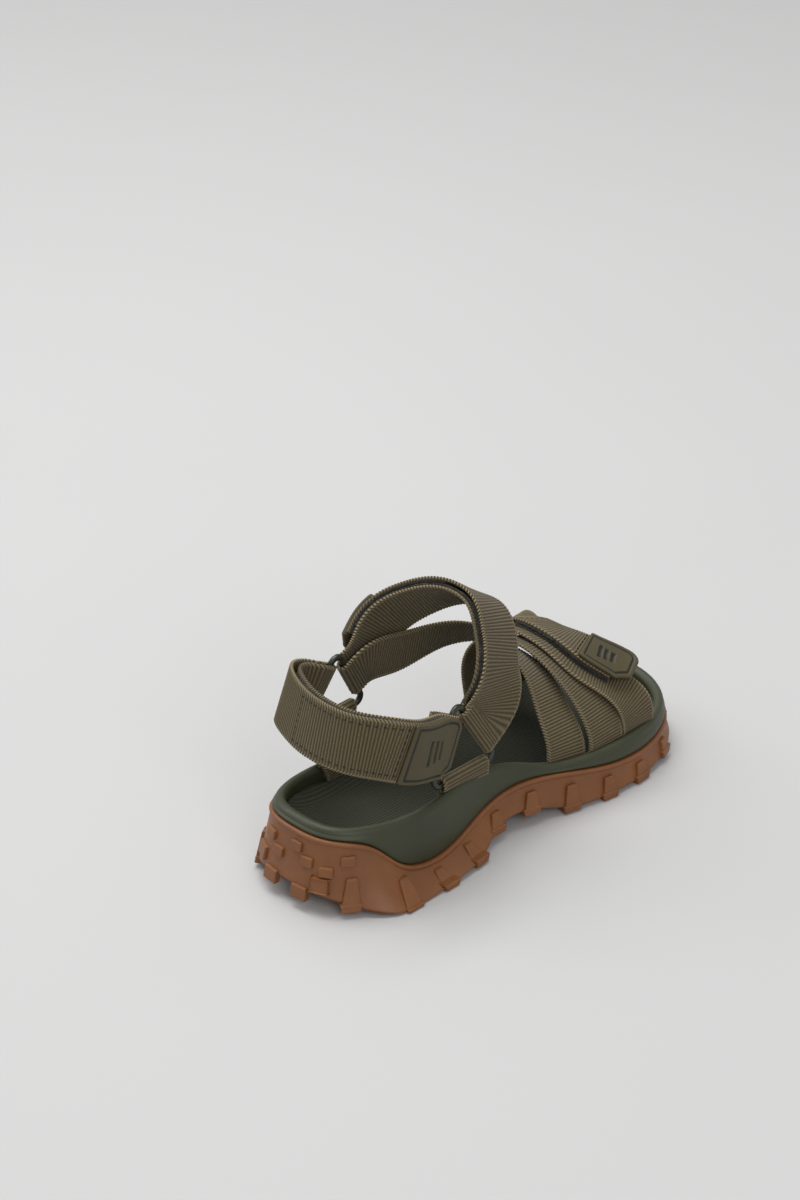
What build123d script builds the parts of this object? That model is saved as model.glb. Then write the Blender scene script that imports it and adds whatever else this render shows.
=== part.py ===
from build123d import *
import math
import os

# Strappy sport sandal, right foot. Millimetres, +Z up, +Y toward the toe, +X to the outer side.
# Ground plane at z = 0, origin under the middle of the outsole.

# ---- sole --------------------------------------------------------------------------------
# widest line of the midsole, from the heel round the outer side to the toe and back: (x, y)
OUTLINE = [
    (0, -137), (26, -132), (38, -115), (42, -92), (42, -60), (38, -25),
    (41, 5), (49, 35), (54, 65), (52, 95), (40, 121), (16, 136),
    (-10, 138), (-34, 131), (-48, 112), (-51, 88), (-47, 60), (-38, 30),
    (-30, 0), (-29, -30), (-33, -60), (-38, -92), (-36, -116), (-25, -131),
]
# heights along the length: (y, z)
RIM_TOP = [(-150, 51), (-100, 46), (-60, 46.5), (-20, 45.5), (0, 40), (20, 33), (60, 30), (100, 30),
           (150, 34)]
RUBBER_TOP = [(-150, 38), (-118, 36), (-92, 18), (-70, 13), (-40, 18), (-10, 27), (10, 28), (60, 20),
              (100, 18), (150, 24)]
FOOTBED_TOP = [(-150, 40), (-118, 36), (-90, 33), (-60, 32), (-20, 29), (20, 25), (60, 21), (100, 20),
               (150, 24)]
TREAD_BASE = [(-150, 19), (-134, 12), (-118, 5), (-60, 4), (-30, 9), (0, 12), (30, 5), (60, 4), (95, 5),
              (120, 9), (150, 16)]
FOOTBED_THICK = 3.0
OUTLINE_FACETS = 80
TURNING = 1              # outward side of the outline, which runs counter-clockwise
RIM_WIDTH = 7.0          # from the outline in to the recess
RUBBER_FLARE = 1.6       # outsole wall stands out from the midsole
CUP_WALL = 2.5           # outsole wall round the foot of the midsole
CUP_FLOOR = 4.0
FIT_GAP = 0.1            # between glued layers of the sole
LUG_DEEP = 4.0
LUG_ROWS = 17
LUG_START = -136.0       # middle of the rearmost row
LUG_PITCH = 17.0
LUG_LONG = 10.5
LUG_WIDE = (80.0, 29.0)  # outer lugs run out past the sole and are trimmed to it; middle lugs
LUG_X = 59.5             # middle of an untrimmed outer lug
BAR_WIDE = 7.0
BAR_OUT = 1.8
BAR_DROP = 5.0           # bars stop this far below the rubber edge
SIDE_BARS = [-70.0 + 25.5 * i for i in range(8)]            # upright bars along both sides: y
TOE_BARS = (-22.0, 0.0, 22.0)                               # and round the toe: x
HEEL_BARS = (-28.0, -11.0, 11.0, 28.0)                      # short bars low on the heel: x
HEEL_BAR_TOP = 18.0
HEEL_BLOCKS = [(-21, 29), (-6, 28), (9, 30), (24, 27)]      # raised blocks on the heel: (x, z)
BLOCK_SIZE = (9.0, 6.0)
END_Y = 125.0            # bars and blocks at the ends are trimmed from boxes centred here
END_DEEP = 50.0
TALL = 160.0             # taller than the sole
BROAD = 200.0            # wider than the sole
SHALLOW = 30.0           # more than the height of the rim over the footbed

# ---- webbing and rings -------------------------------------------------------------------
WEB = 1.8                # webbing thickness
PAD = 1.4                # hook or loop pad thickness
PEEL = 0.3               # gap between a hook pad and its loop pad
WIDE = 35.0              # heel, instep and quarter webbing
SLIM = 27.0              # forefoot webbing
TOE_WIDE = 25.0
RING_BAR = 3.5
RING_THICK = 2.8
RING_INRADIUS = 16.5
RING_CORNER = 6.0
RING_HOLE_CORNER = 2.5
RING_ROUND = 0.6
RING_SLACK = 0.15        # webbing to ring
RETURN = WEB + 2 * PAD + PEEL            # level where a webbing comes back over its base
RING_LEVEL = (WEB + RETURN) / 2          # middle of a ring bar between base and return
CREASE_GAP = 0.8         # between a fixed webbing and the flap hinged on it
TAB_THICK = 2.4
TAB_BORDER = 4.0         # plain edge of a tab, outside its raised frame
FRAME_WIDE = 2.0
FRAME_PROUD = 0.5
EMBLEM_PITCH = 3.4       # three bars inside the frame
EMBLEM_BAR = 1.9
EMBLEM_SHARES = (0.4, 0.34, 0.28)        # bar widths as shares of the tab
TAB_CUT = 9.0            # square that takes off one corner
SLOT_SLACK = 0.4
SLOT_TALL = 50.0
STEPS = 32                # flats along a run of webbing
NEAR = 0.002              # shortest flat, as a share of a run


def side_slab(lower, upper):
    """Solid between two lengthwise profiles, wider than the sole."""
    wire = Wire([
        Spline(*[(0, y, z) for y, z in upper]),
        Line((0, *upper[-1]), (0, *lower[-1])),
        Spline(*[(0, y, z) for y, z in reversed(lower)]),
        Line((0, *lower[0]), (0, *upper[0])),
    ])
    return extrude(Face(wire), amount=BROAD / 2, dir=(1, 0, 0), both=True)


def outline_prism(grow):
    """The sole outline grown sideways by `grow`, as a tall prism with flat facets."""
    spline = Spline(*OUTLINE, periodic=True)
    points = []
    for i in range(OUTLINE_FACETS):
        t = i / OUTLINE_FACETS
        way = spline % t
        points.append(spline @ t + Vector(way.Y, -way.X, 0).normalized() * grow * TURNING)
    return extrude(Face(Wire.make_polygon(points, close=True)), amount=TALL, dir=(0, 0, 1))


class Ring:
    """A flat triangular ring, one corner up, that three webbings hook on."""

    def __init__(self, centre, lean, side):
        self.centre = Vector(*centre)
        self.up = Vector(-lean * side, 0, 1).normalized()
        self.fore = Vector(0, 1, 0)
        self.out = Vector(side, 0, lean).normalized()
        self.bars = {"rear": 150, "front": 30, "low": -90}

    def bar(self, name, out):
        """Middle of a bar moved `out` from the ring plane, the way out over it and its run."""
        angle = math.radians(self.bars[name])
        away = self.fore * math.cos(angle) + self.up * math.sin(angle)
        run = self.fore * -math.sin(angle) + self.up * math.cos(angle)
        middle = self.centre + away * (RING_INRADIUS - RING_BAR / 2) + self.out * out
        return middle, away, run

    def way(self, name):
        """Way out over a bar, square to it."""
        return self.bar(name, 0)[1]

    def solid(self):
        plane = Plane(self.centre, x_dir=self.fore, z_dir=self.fore.cross(self.up))
        outer = RegularPolygon(RING_INRADIUS, 3, major_radius=False, rotation=90)
        inner = RegularPolygon(RING_INRADIUS - RING_BAR, 3, major_radius=False, rotation=90)
        frame = fillet(outer.vertices(), RING_CORNER) - fillet(inner.vertices(), RING_HOLE_CORNER)
        plate = extrude(plane * frame, amount=RING_THICK / 2, both=True)
        faces = plate.faces().sort_by(Axis(plane.origin, plane.z_dir))
        return fillet([*faces[0].edges(), *faces[-1].edges()], RING_ROUND)


class Band:
    """A run of flat webbing: its inner face follows stations of (middle, way across)."""

    def __init__(self, stations, width, ways):
        """`ways` are the directions in which the run sets off and arrives."""
        self.width = width
        halves = [(Vector(*p), Vector(*w).normalized() * width / 2) for p, w in stations]
        left = Spline(*[middle - half for middle, half in halves], tangents=ways)
        right = Spline(*[middle + half for middle, half in halves], tangents=ways)
        self.length = (left.length + right.length) / 2
        self.knots = []
        for i in range(STEPS + 1):
            t = i / STEPS
            along = (left % t + right % t).normalized()
            across = right @ t - left @ t
            across = (across - along * across.dot(along)).normalized()
            self.knots.append(((left @ t + right @ t) / 2, across, along.cross(across)))

    def point(self, t, side, level):
        """Point of the webbing, `side` from its middle line and `level` above its inner face."""
        knot = min(int(t * STEPS), STEPS - 1)
        ends = [middle + across * side + out * level for middle, across, out in self.knots[knot:knot + 2]]
        return ends[0] + (ends[1] - ends[0]) * (t * STEPS - knot)

    def frame(self, t):
        """Middle, way along, way across and way out of the webbing at t from 0 to 1."""
        middle = self.point(t, 0, 0)
        across = (self.point(t, 1, 0) - middle).normalized()
        out = (self.point(t, 0, 1) - middle).normalized()
        return middle, across.cross(out), across, out

    def section(self, t, low, high, width, slide=0.0):
        """Rectangle across the webbing between two levels above its inner face."""
        left, right = slide - width / 2, slide + width / 2
        corners = [self.point(t, side, level)
                   for side, level in ((left, low), (right, low), (right, high), (left, high))]
        return Wire.make_polygon(corners, close=True)

    def strip(self, low, thick, start=0.0, end=1.0, width=None, last=None, slides=(0.0, 0.0)):
        """Solid layer from t = start to t = end, its level going from `low` to `last`.

        It lies to one side of the middle of the run by `slides`, at its start and at its end.
        """
        width = width or self.width
        last = low if last is None else last
        inner = [i / STEPS for i in range(STEPS + 1) if start + NEAR < i / STEPS < end - NEAR]
        sections = []
        for t in [start, *inner, end]:
            share = (t - start) / (end - start)
            level = low + (last - low) * share
            slide = slides[0] + (slides[1] - slides[0]) * share
            sections.append(self.section(t, level, level + thick, width, slide))
        return Solid.make_loft(sections, ruled=True)

    def turn(self, t, centre, low=0.0):
        """Half turn at one end of the run, about a ring bar whose middle is at level `centre`."""
        middle, _, across, out = self.frame(t)
        face = Face(self.section(t, low, low + WEB, self.width))
        sweep = 180 if (t < 0.5) == (centre > low) else -180
        return Solid.revolve(face, sweep, Axis(middle + out * centre, across))

    def gap(self, millimetres):
        """A length along the webbing as a share of the whole run."""
        return millimetres / self.length


def vec(v):
    return (v.X, v.Y, v.Z)


def over_bar(ring, name, out, reach, flip):
    """Stations straight over a ring bar, from its hole edge to `reach` beyond it."""
    middle, away, run = ring.bar(name, out)
    across = vec(run * flip)
    inside = middle - away * (RING_BAR / 2 - RING_ROUND)
    return [(vec(place), across) for place in (inside, middle + away * reach / 2, middle + away * reach)]


def pocket(band, t, inward, outward, slide=0.0, wider=0.0):
    """Upright slot in the sole round the foot of a band, from its end up."""
    middle, _, across, out = band.frame(t)
    level = Vector(out.X, out.Y, 0).normalized()
    plane = Plane(middle + level * (outward - inward) / 2 + across * slide, x_dir=across, z_dir=(0, 0, 1))
    size = (band.width + 2 * SLOT_SLACK + wider, inward + outward, SLOT_TALL)
    return plane * Box(*size, align=(Align.CENTER, Align.CENTER, Align.MIN))


def tab(band, start, end, slide=0.0):
    """Moulded pull tab from `start` to its free end: cut corner, raised frame, bar emblem."""
    way = 1 if end > start else -1
    plate = layer(band, TAB_LOW, TAB_THICK, start, end, band.width, slide)
    middle, along, across, out = band.frame(end)
    corner = Plane(middle + across * (band.width / 2 + slide), x_dir=along, z_dir=out)
    plate -= corner * Rot(0, 0, 45) * Box(TAB_CUT, TAB_CUT, 4 * TAB_LOW)
    top = TAB_LOW + TAB_THICK
    edge = band.gap(TAB_BORDER) * way
    rim = band.gap(FRAME_WIDE) * way
    inside = band.width - 2 * (TAB_BORDER + FRAME_WIDE)
    frame = layer(band, top, FRAME_PROUD, start + edge, end - 2 * edge, band.width - 2 * TAB_BORDER, slide)
    opening = (start + edge + rim, end - 2 * edge - rim)
    frame -= layer(band, top - FRAME_PROUD, 3 * FRAME_PROUD, *opening, inside, slide)
    plate += frame
    half = band.gap(EMBLEM_BAR / 2)
    for place, share in enumerate(EMBLEM_SHARES, -1):
        t = (start + end - edge) / 2 + place * band.gap(EMBLEM_PITCH)
        plate += layer(band, top, FRAME_PROUD, t - half, t + half, band.width * share, slide)
    return plate


def layer(band, low, thick, start, end, width, slide):
    """One level layer of a band between two places, in either order."""
    first, last = sorted((start, end))
    return band.strip(low, thick, first, last, width, slides=(slide, slide))


def crease(band, t):
    """The line a flap swings on: across the outer face of its webbing, in the gap."""
    middle, _, across, out = band.frame(t)
    return middle + out * (RETURN + WEB), across


lateral_ring = Ring((33.2, -39, 64.5), 0.12, 1)
medial_ring = Ring((-34.5, -70, 84), 0.14, -1)

UP, DOWN = Vector(0, 0, 1), Vector(0, 0, -1)
OUTSIDE = RING_THICK / 2 + RING_SLACK      # inner face of a webbing lying outside a ring
INSIDE = -RING_LEVEL                       # inner face of a webbing turned round a bar

heel = Band(
    over_bar(medial_ring, "rear", INSIDE, 7, -1)
    + [
        ((-33.5, -98, 98), (0.1, 0.3, 0.94)),
        ((-21, -107.5, 98.5), (0.1, 0.22, 0.94)),
        ((0, -112, 97), (0.09, 0.2, 0.94)),
        ((20, -108, 95), (0.07, 0.2, 0.94)),
        ((32, -97, 91.5), (0.03, 0.25, 0.95)),
        ((36.5, -80, 84), (0.0, 0.35, 0.93)),
    ]
    + over_bar(lateral_ring, "rear", OUTSIDE, 8, -1)[::-1],
    WIDE,
    (medial_ring.way("rear"), -lateral_ring.way("rear")),
)
instep = Band(
    over_bar(medial_ring, "front", OUTSIDE, 8, -1)
    + [
        ((-32, -32, 114), (0, 0.68, -0.72)),
        ((-20, -17, 126), (0, 0.74, -0.66)),
        ((-4, -7, 132), (0, 0.78, -0.6)),
        ((12, -3, 129.5), (0, 0.8, -0.58)),
        ((24, -6, 116), (0, 0.77, -0.63)),
        ((31, -13, 98), (0, 0.68, -0.73)),
    ]
    + over_bar(lateral_ring, "front", INSIDE, 7, -1)[::-1],
    WIDE,
    (medial_ring.way("front"), -lateral_ring.way("front")),
)
cross = Band(
    over_bar(medial_ring, "front", INSIDE, 7, -1)
    + [
        ((-29.5, -22, 93), (-0.1, 0.55, -0.8)),
        ((-24.5, 8, 93), (-0.25, 0.55, -0.78)),
        ((-13, 26, 90), (-0.4, 0.6, -0.75)),
        ((3, 34.5, 82.5), (-0.3, 0.78, -0.52)),
        ((19.5, 38, 68.5), (-0.1, 0.92, -0.38)),
        ((31.5, 37, 53), (0, 0.98, -0.2)),
        ((41, 36, 37), (0.12, 1, -0.05)),
        ((42, 35, 22), (0.2, 1, 0)),
    ],
    SLIM,
    (medial_ring.way("front"), DOWN),
)
vamp = Band(
    [
        ((-38, 49, 20), (-0.29, 0.96, 0)),
        ((-39, 49, 38), (-0.25, 0.97, -0.05)),
        ((-35, 47, 61), (-0.1, 0.96, -0.2)),
        ((-21, 48, 76), (0, 0.92, -0.38)),
        ((-5, 52, 78.5), (0, 0.92, -0.38)),
        ((12, 56, 72.8), (0, 0.93, -0.36)),
        ((26, 60, 62.8), (0, 0.96, -0.24)),
        ((40.5, 62.5, 48), (0, 1, -0.08)),
        ((46.5, 63, 34), (0, 1, 0)),
        ((46, 63, 20), (0.08, 1, 0)),
    ],
    SLIM,
    (UP, DOWN),
)
toe = Band(
    [
        ((-44.5, 75, 20), (-0.1, 1, 0)),
        ((-45, 74, 38), (-0.1, 1, -0.05)),
        ((-41, 69, 57), (-0.05, 0.97, -0.2)),
        ((-31, 62, 72), (0, 0.93, -0.36)),
        ((-18, 61, 78), (0, 0.93, -0.38)),
        ((-5, 61, 78.5), (0, 0.93, -0.38)),
        ((7, 63, 75.5), (0.05, 0.93, -0.36)),
        ((22, 69, 66.5), (0.12, 0.95, -0.28)),
        ((34.5, 79, 57), (0.1, 0.97, -0.18)),
        ((45.5, 87, 44.5), (0.05, 1, -0.06)),
        ((47, 89.8, 31), (0, 1, 0)),
        ((45.5, 90, 20), (-0.06, 1, 0)),
    ],
    TOE_WIDE,
    (UP, DOWN),
)
lateral_quarter = Band(
    [((30.6, -41.6, 25.3), (0.05, -1, 0)), ((31, -40.7, 36.2), (0.03, -1, 0))]
    + over_bar(lateral_ring, "low", INSIDE, 4, -1)[::-1],
    WIDE,
    (UP, -lateral_ring.way("low")),
)
medial_quarter = Band(
    [((-25.2, -64, 27), (0.15, 1, 0)), ((-26, -65.5, 43), (0.13, 1, 0))]
    + over_bar(medial_ring, "low", INSIDE, 6, 1)[::-1],
    WIDE,
    (UP, -medial_ring.way("low")),
)

HEEL_CREASE, HEEL_END = 0.22, 0.985          # shares of each run where its flap begins and ends
INSTEP_CREASE, INSTEP_END = 0.52, 0.07
TOE_CREASE, TOE_END = 0.36, 0.8
TOE_SLIDE = 10.0         # the toe flap lies this far forward of the webbing under it
ROOT_SLIDE = 4.0         # and its foot this far
BAR_RUN = 3.2            # straight webbing over a ring bar
SPREAD_RUN = 5.0         # where the two layers of a quarter loop part to reach round the bar
LOOP_LAP = 14.0          # sewn end of the heel webbing, folded round the outer ring
TAB_HEEL, TAB_INSTEP, TAB_TOE = 40.0, 30.0, 32.0         # tab lengths
HOOK_LOW = WEB + PAD + PEEL
TAB_LOW = RETURN + WEB
PAD_EDGE = 1.5           # webbing edge left free round a pad
INSTEP_PAD = 0.84        # share of the instep run where its pads end, above the outer ring
TOE_BASE_END = 0.25      # free end of the forward webbing, under the flap
TOE_RISE = 0.24          # where the root of the toe flap reaches the level of the flap


def biggest(shape):
    """The largest solid of a shape or of a list of shapes."""
    return ShapeList(shape.solids()).sort_by(SortBy.VOLUME)[-1]


# ---- sole pieces -------------------------------------------------------------------------
walls = outline_prism(0)
core = outline_prism(-CUP_WALL)
rubber_walls = outline_prism(RUBBER_FLARE)
bar_walls = outline_prism(RUBBER_FLARE + BAR_OUT)
recess = outline_prism(-RIM_WIDTH)


def raised(profile, by):
    """A lengthwise profile moved up by `by`."""
    return [(y, z + by) for y, z in profile]


cup_floor = raised(TREAD_BASE, CUP_FLOOR)
outsole = rubber_walls & side_slab(TREAD_BASE, RUBBER_TOP)
outsole -= core & side_slab(cup_floor, raised(RUBBER_TOP, SHALLOW))

tread = []
for row in range(LUG_ROWS):
    y = LUG_START + row * LUG_PITCH
    tread.append(Pos(0, y + LUG_PITCH / 2, 0) * Box(LUG_WIDE[1], LUG_LONG, TALL))
    for side in (-1, 1):
        tread.append(Pos(side * LUG_X, y, 0) * Box(LUG_WIDE[0], LUG_LONG, TALL))
ground = raised(TREAD_BASE, -LUG_DEEP)
outsole += bar_walls & side_slab(ground, raised(TREAD_BASE, 1)) & Compound(tread)

bars = [Pos(0, y, 0) * Box(BROAD, BAR_WIDE, TALL) for y in SIDE_BARS]
bars += [Pos(x, END_Y, 0) * Box(BAR_WIDE, END_DEEP, TALL) for x in TOE_BARS]
bars += [Pos(x, -END_Y, 0) * Box(BAR_WIDE, END_DEEP, 2 * HEEL_BAR_TOP) for x in HEEL_BARS]
bar_band = bar_walls & side_slab(ground, raised(RUBBER_TOP, -BAR_DROP))
outsole += (bar_band - walls) & Compound(bars)
blocks = [Pos(x, -END_Y, z) * Box(BLOCK_SIZE[0], END_DEEP, BLOCK_SIZE[1]) for x, z in HEEL_BLOCKS]
outsole += (bar_walls - walls) & Compound(blocks)

bed_floor = raised(FOOTBED_TOP, -FOOTBED_THICK)
midsole = walls & side_slab(raised(RUBBER_TOP, FIT_GAP), RIM_TOP)
midsole += outline_prism(-CUP_WALL - FIT_GAP) & side_slab(raised(cup_floor, FIT_GAP), raised(RUBBER_TOP, 1))
midsole -= recess & side_slab(bed_floor, raised(RIM_TOP, SHALLOW))
footbed = outline_prism(-RIM_WIDTH - FIT_GAP) & side_slab(raised(bed_floor, FIT_GAP), FOOTBED_TOP)

root_slides = (ROOT_SLIDE, TOE_SLIDE)
# reach inward and outward of each foot, then how far aside of it and how much wider
pockets = [
    pocket(cross, 1, 1.6, WEB + 0.6),
    pocket(vamp, 1, 0.6, WEB + 1.2),
    pocket(toe, 1, 0.6, WEB + 2.0),
    pocket(vamp, 0, 0.6, WEB + 1.4),
    pocket(toe, 0, 0.6, WEB + 3.0, ROOT_SLIDE + 1.5, 4.0),
    pocket(lateral_quarter, 0, 1.2, 7.8, -1.5, 4.0),
    pocket(medial_quarter, 0, 1.0, 6.4, -1.5, 3.5),
]
midsole -= pockets
footbed -= pockets

# ---- webbing -----------------------------------------------------------------------------
def quarter(band):
    """Webbing up from its slot, over the low bar of a ring and down beside itself."""
    level = 1 - band.gap(BAR_RUN)
    spread = level - band.gap(SPREAD_RUN)
    beside = WEB + SLOT_SLACK
    outer = band.strip(beside, WEB, 0, spread) + band.strip(beside, WEB, spread, level, last=RETURN)
    return band.strip(0, WEB) + band.turn(1, RING_LEVEL) + outer + band.strip(RETURN, WEB, level, 1)


def flap(band, start, end, tab_start, pad_start, loop_start=None, slide=0.0, pad_width=None, pad_slide=0.0):
    """Webbing, hook pad and pull tab of one hinged flap, and the loop pad it sticks to."""
    loop_start = loop_start or pad_start
    pad_width = pad_width or band.width - 2 * PAD_EDGE
    pad_end = end + band.gap(PAD_EDGE) * (1 if start > end else -1)
    return {
        "flap": layer(band, RETURN, WEB, start, end, band.width, slide),
        "hook_pad": layer(band, HOOK_LOW, PAD, pad_start, pad_end, pad_width, pad_slide),
        "tab": tab(band, tab_start, end, slide),
        "loop_pad": layer(band, WEB, PAD, loop_start, pad_end, pad_width, pad_slide),
    }


parts = {}
parts["outsole"] = outsole
parts["midsole"] = midsole
parts["footbed"] = footbed
parts["lateral_ring"] = lateral_ring.solid()
parts["medial_ring"] = medial_ring.solid()
parts["lateral_quarter_loop"] = quarter(lateral_quarter)
parts["medial_quarter_loop"] = quarter(medial_quarter)

half_gap = CREASE_GAP / 2
lap = 1 - heel.gap(LOOP_LAP)
sewn = heel.strip(-2 * OUTSIDE - WEB, WEB, lap, 1)
parts["heel_strap_base"] = heel.strip(0, WEB) + heel.turn(1, -OUTSIDE) + sewn
step = heel.gap(half_gap)
parts["heel_strap_return"] = heel.turn(0, RING_LEVEL) + heel.strip(RETURN, WEB, 0, HEEL_CREASE - step)
tab_start = HEEL_END - heel.gap(TAB_HEEL)
for name, solid in flap(heel, HEEL_CREASE + step, HEEL_END, tab_start, HEEL_CREASE + 2 * step).items():
    parts["heel_" + name] = solid

parts["instep_cross_band"] = cross.strip(0, WEB) + cross.turn(0, RING_LEVEL)
step = instep.gap(half_gap)
parts["instep_strap_base"] = (
    instep.strip(0, WEB) + instep.turn(1, RING_LEVEL) + instep.strip(RETURN, WEB, INSTEP_CREASE + step, 1)
)
tab_start = INSTEP_END + instep.gap(TAB_INSTEP)
parts["instep_hook_strip"] = layer(
    instep, HOOK_LOW, PAD, INSTEP_CREASE + 2 * step, INSTEP_PAD, instep.width - 2 * PAD_EDGE, 0
)
pieces = flap(instep, INSTEP_CREASE - step, INSTEP_END, tab_start, INSTEP_CREASE - 2 * step, INSTEP_PAD)
for name, solid in pieces.items():
    parts["instep_" + name] = solid

parts["vamp_band"] = vamp.strip(0, WEB)
parts["toe_strap_base"] = toe.strip(0, WEB, TOE_BASE_END, 1)
step = toe.gap(half_gap)
parts["toe_strap_root"] = toe.strip(0, WEB, 0, TOE_RISE, last=RETURN, slides=root_slides) + toe.strip(
    RETURN, WEB, TOE_RISE, TOE_CREASE - step, slides=(TOE_SLIDE, TOE_SLIDE)
)
pieces = flap(toe, TOE_CREASE + step, TOE_END, TOE_END - toe.gap(TAB_TOE), TOE_CREASE + 4 * step,
              slide=TOE_SLIDE, pad_width=TOE_WIDE - TOE_SLIDE - PAD_EDGE, pad_slide=TOE_SLIDE / 2)
for name, solid in pieces.items():
    parts["toe_" + name] = solid

# the outsole is the widest and longest piece, so the origin goes under its middle
middle = outsole.bounding_box().center()
os.makedirs("parts", exist_ok=True)
for name, solid in parts.items():
    export_step(Pos(-middle.X, -middle.Y, 0) * biggest(solid), f"parts/{name}.step")
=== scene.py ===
"""Looks of a strappy sport sandal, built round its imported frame.

The classes hold the sandal's own pattern in millimetres; `metres` turns its points into the row frame.
"""

import logging
import math
from dataclasses import dataclass, field
from enum import Enum
from typing import Callable, NamedTuple, Sequence

import bmesh
import bpy
import numpy as np
from mathutils import Matrix, Vector


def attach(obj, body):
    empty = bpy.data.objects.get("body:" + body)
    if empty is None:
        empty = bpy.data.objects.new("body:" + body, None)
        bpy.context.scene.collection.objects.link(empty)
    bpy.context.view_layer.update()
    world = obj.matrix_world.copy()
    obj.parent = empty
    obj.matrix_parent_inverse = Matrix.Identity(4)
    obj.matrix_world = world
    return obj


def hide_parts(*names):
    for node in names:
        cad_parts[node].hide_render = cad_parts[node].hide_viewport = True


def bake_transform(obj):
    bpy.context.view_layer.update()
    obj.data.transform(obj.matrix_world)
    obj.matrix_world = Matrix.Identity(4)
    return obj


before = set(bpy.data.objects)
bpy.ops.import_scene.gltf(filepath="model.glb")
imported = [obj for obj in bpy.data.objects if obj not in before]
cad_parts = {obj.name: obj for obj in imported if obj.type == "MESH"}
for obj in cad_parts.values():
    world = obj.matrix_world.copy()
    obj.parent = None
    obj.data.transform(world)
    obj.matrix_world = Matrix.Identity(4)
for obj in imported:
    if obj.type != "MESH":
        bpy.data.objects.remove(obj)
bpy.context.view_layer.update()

LOG = logging.getLogger("sandal")
Array = np.ndarray
Triple = tuple[float, float, float]
Station = tuple[Sequence[float], Sequence[float]]
Place = Callable[[Array, Array], Array]

MM = 0.001
ORIGIN = np.array((1.614, 0.051, 0.0))      # middle of the outsole in the pattern's own coordinates
UP = np.array((0.0, 0.0, 1.0))
FORE = np.array((0.0, 1.0, 0.0))

WEB = 1.8               # webbing thickness
PAD = 1.4               # hook or loop pad thickness
PEEL = 0.3              # gap between the two pads
RETURN = WEB + 2 * PAD + PEEL               # level where a webbing comes back over its base
RING_LEVEL = (WEB + RETURN) / 2             # middle of a ring bar between base and return
RING_BAR = 3.5
RING_THICK = 2.8
RING_INRADIUS = 16.5
RING_ROUND = 0.6
OUTSIDE = RING_THICK / 2 + 0.15             # inner face of a webbing lying outside a ring
INSIDE = -RING_LEVEL                        # inner face of a webbing turned round a bar
PAD_LOW = {"loop": WEB, "hook": WEB + PAD + PEEL}
TAB_LOW = RETURN + WEB
BEND = 6.0              # room kept each side of a flap's crease; hook pile starts 2 mm beyond it


class Body(Enum):
    """Moving groups of the frame."""

    SANDAL = "sandal"
    HEEL = "heel_peel"
    INSTEP = "instep_peel"
    TOE = "toe_peel"


class Slot(Enum):
    """Material slots of the record."""

    RUBBER = "gum_rubber"
    MIDSOLE = "midsole_foam"
    FOOTBED = "footbed_foam"
    RING = "ring_plastic"
    WEBBING = "webbing"
    HOOK = "hook_pile"
    LOOP = "loop_pile"
    TAB = "tab_rubber"


def metres(points: Array) -> Array:
    """Pattern millimetres as metres in the row frame."""
    return (np.asarray(points, float) - ORIGIN) * MM


def unit(vectors: Array) -> Array:
    """Vectors scaled to length one, along the last axis."""
    vectors = np.asarray(vectors, float)
    return vectors / np.linalg.norm(vectors, axis=-1, keepdims=True)


def ease(value: Array, low: float, high: float) -> Array:
    """Smooth step from 0 at `low` to 1 at `high`."""
    t = np.clip((value - low) / (high - low), 0.0, 1.0)
    return t * t * (3 - 2 * t)


# ---- curves ------------------------------------------------------------------------------


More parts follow.
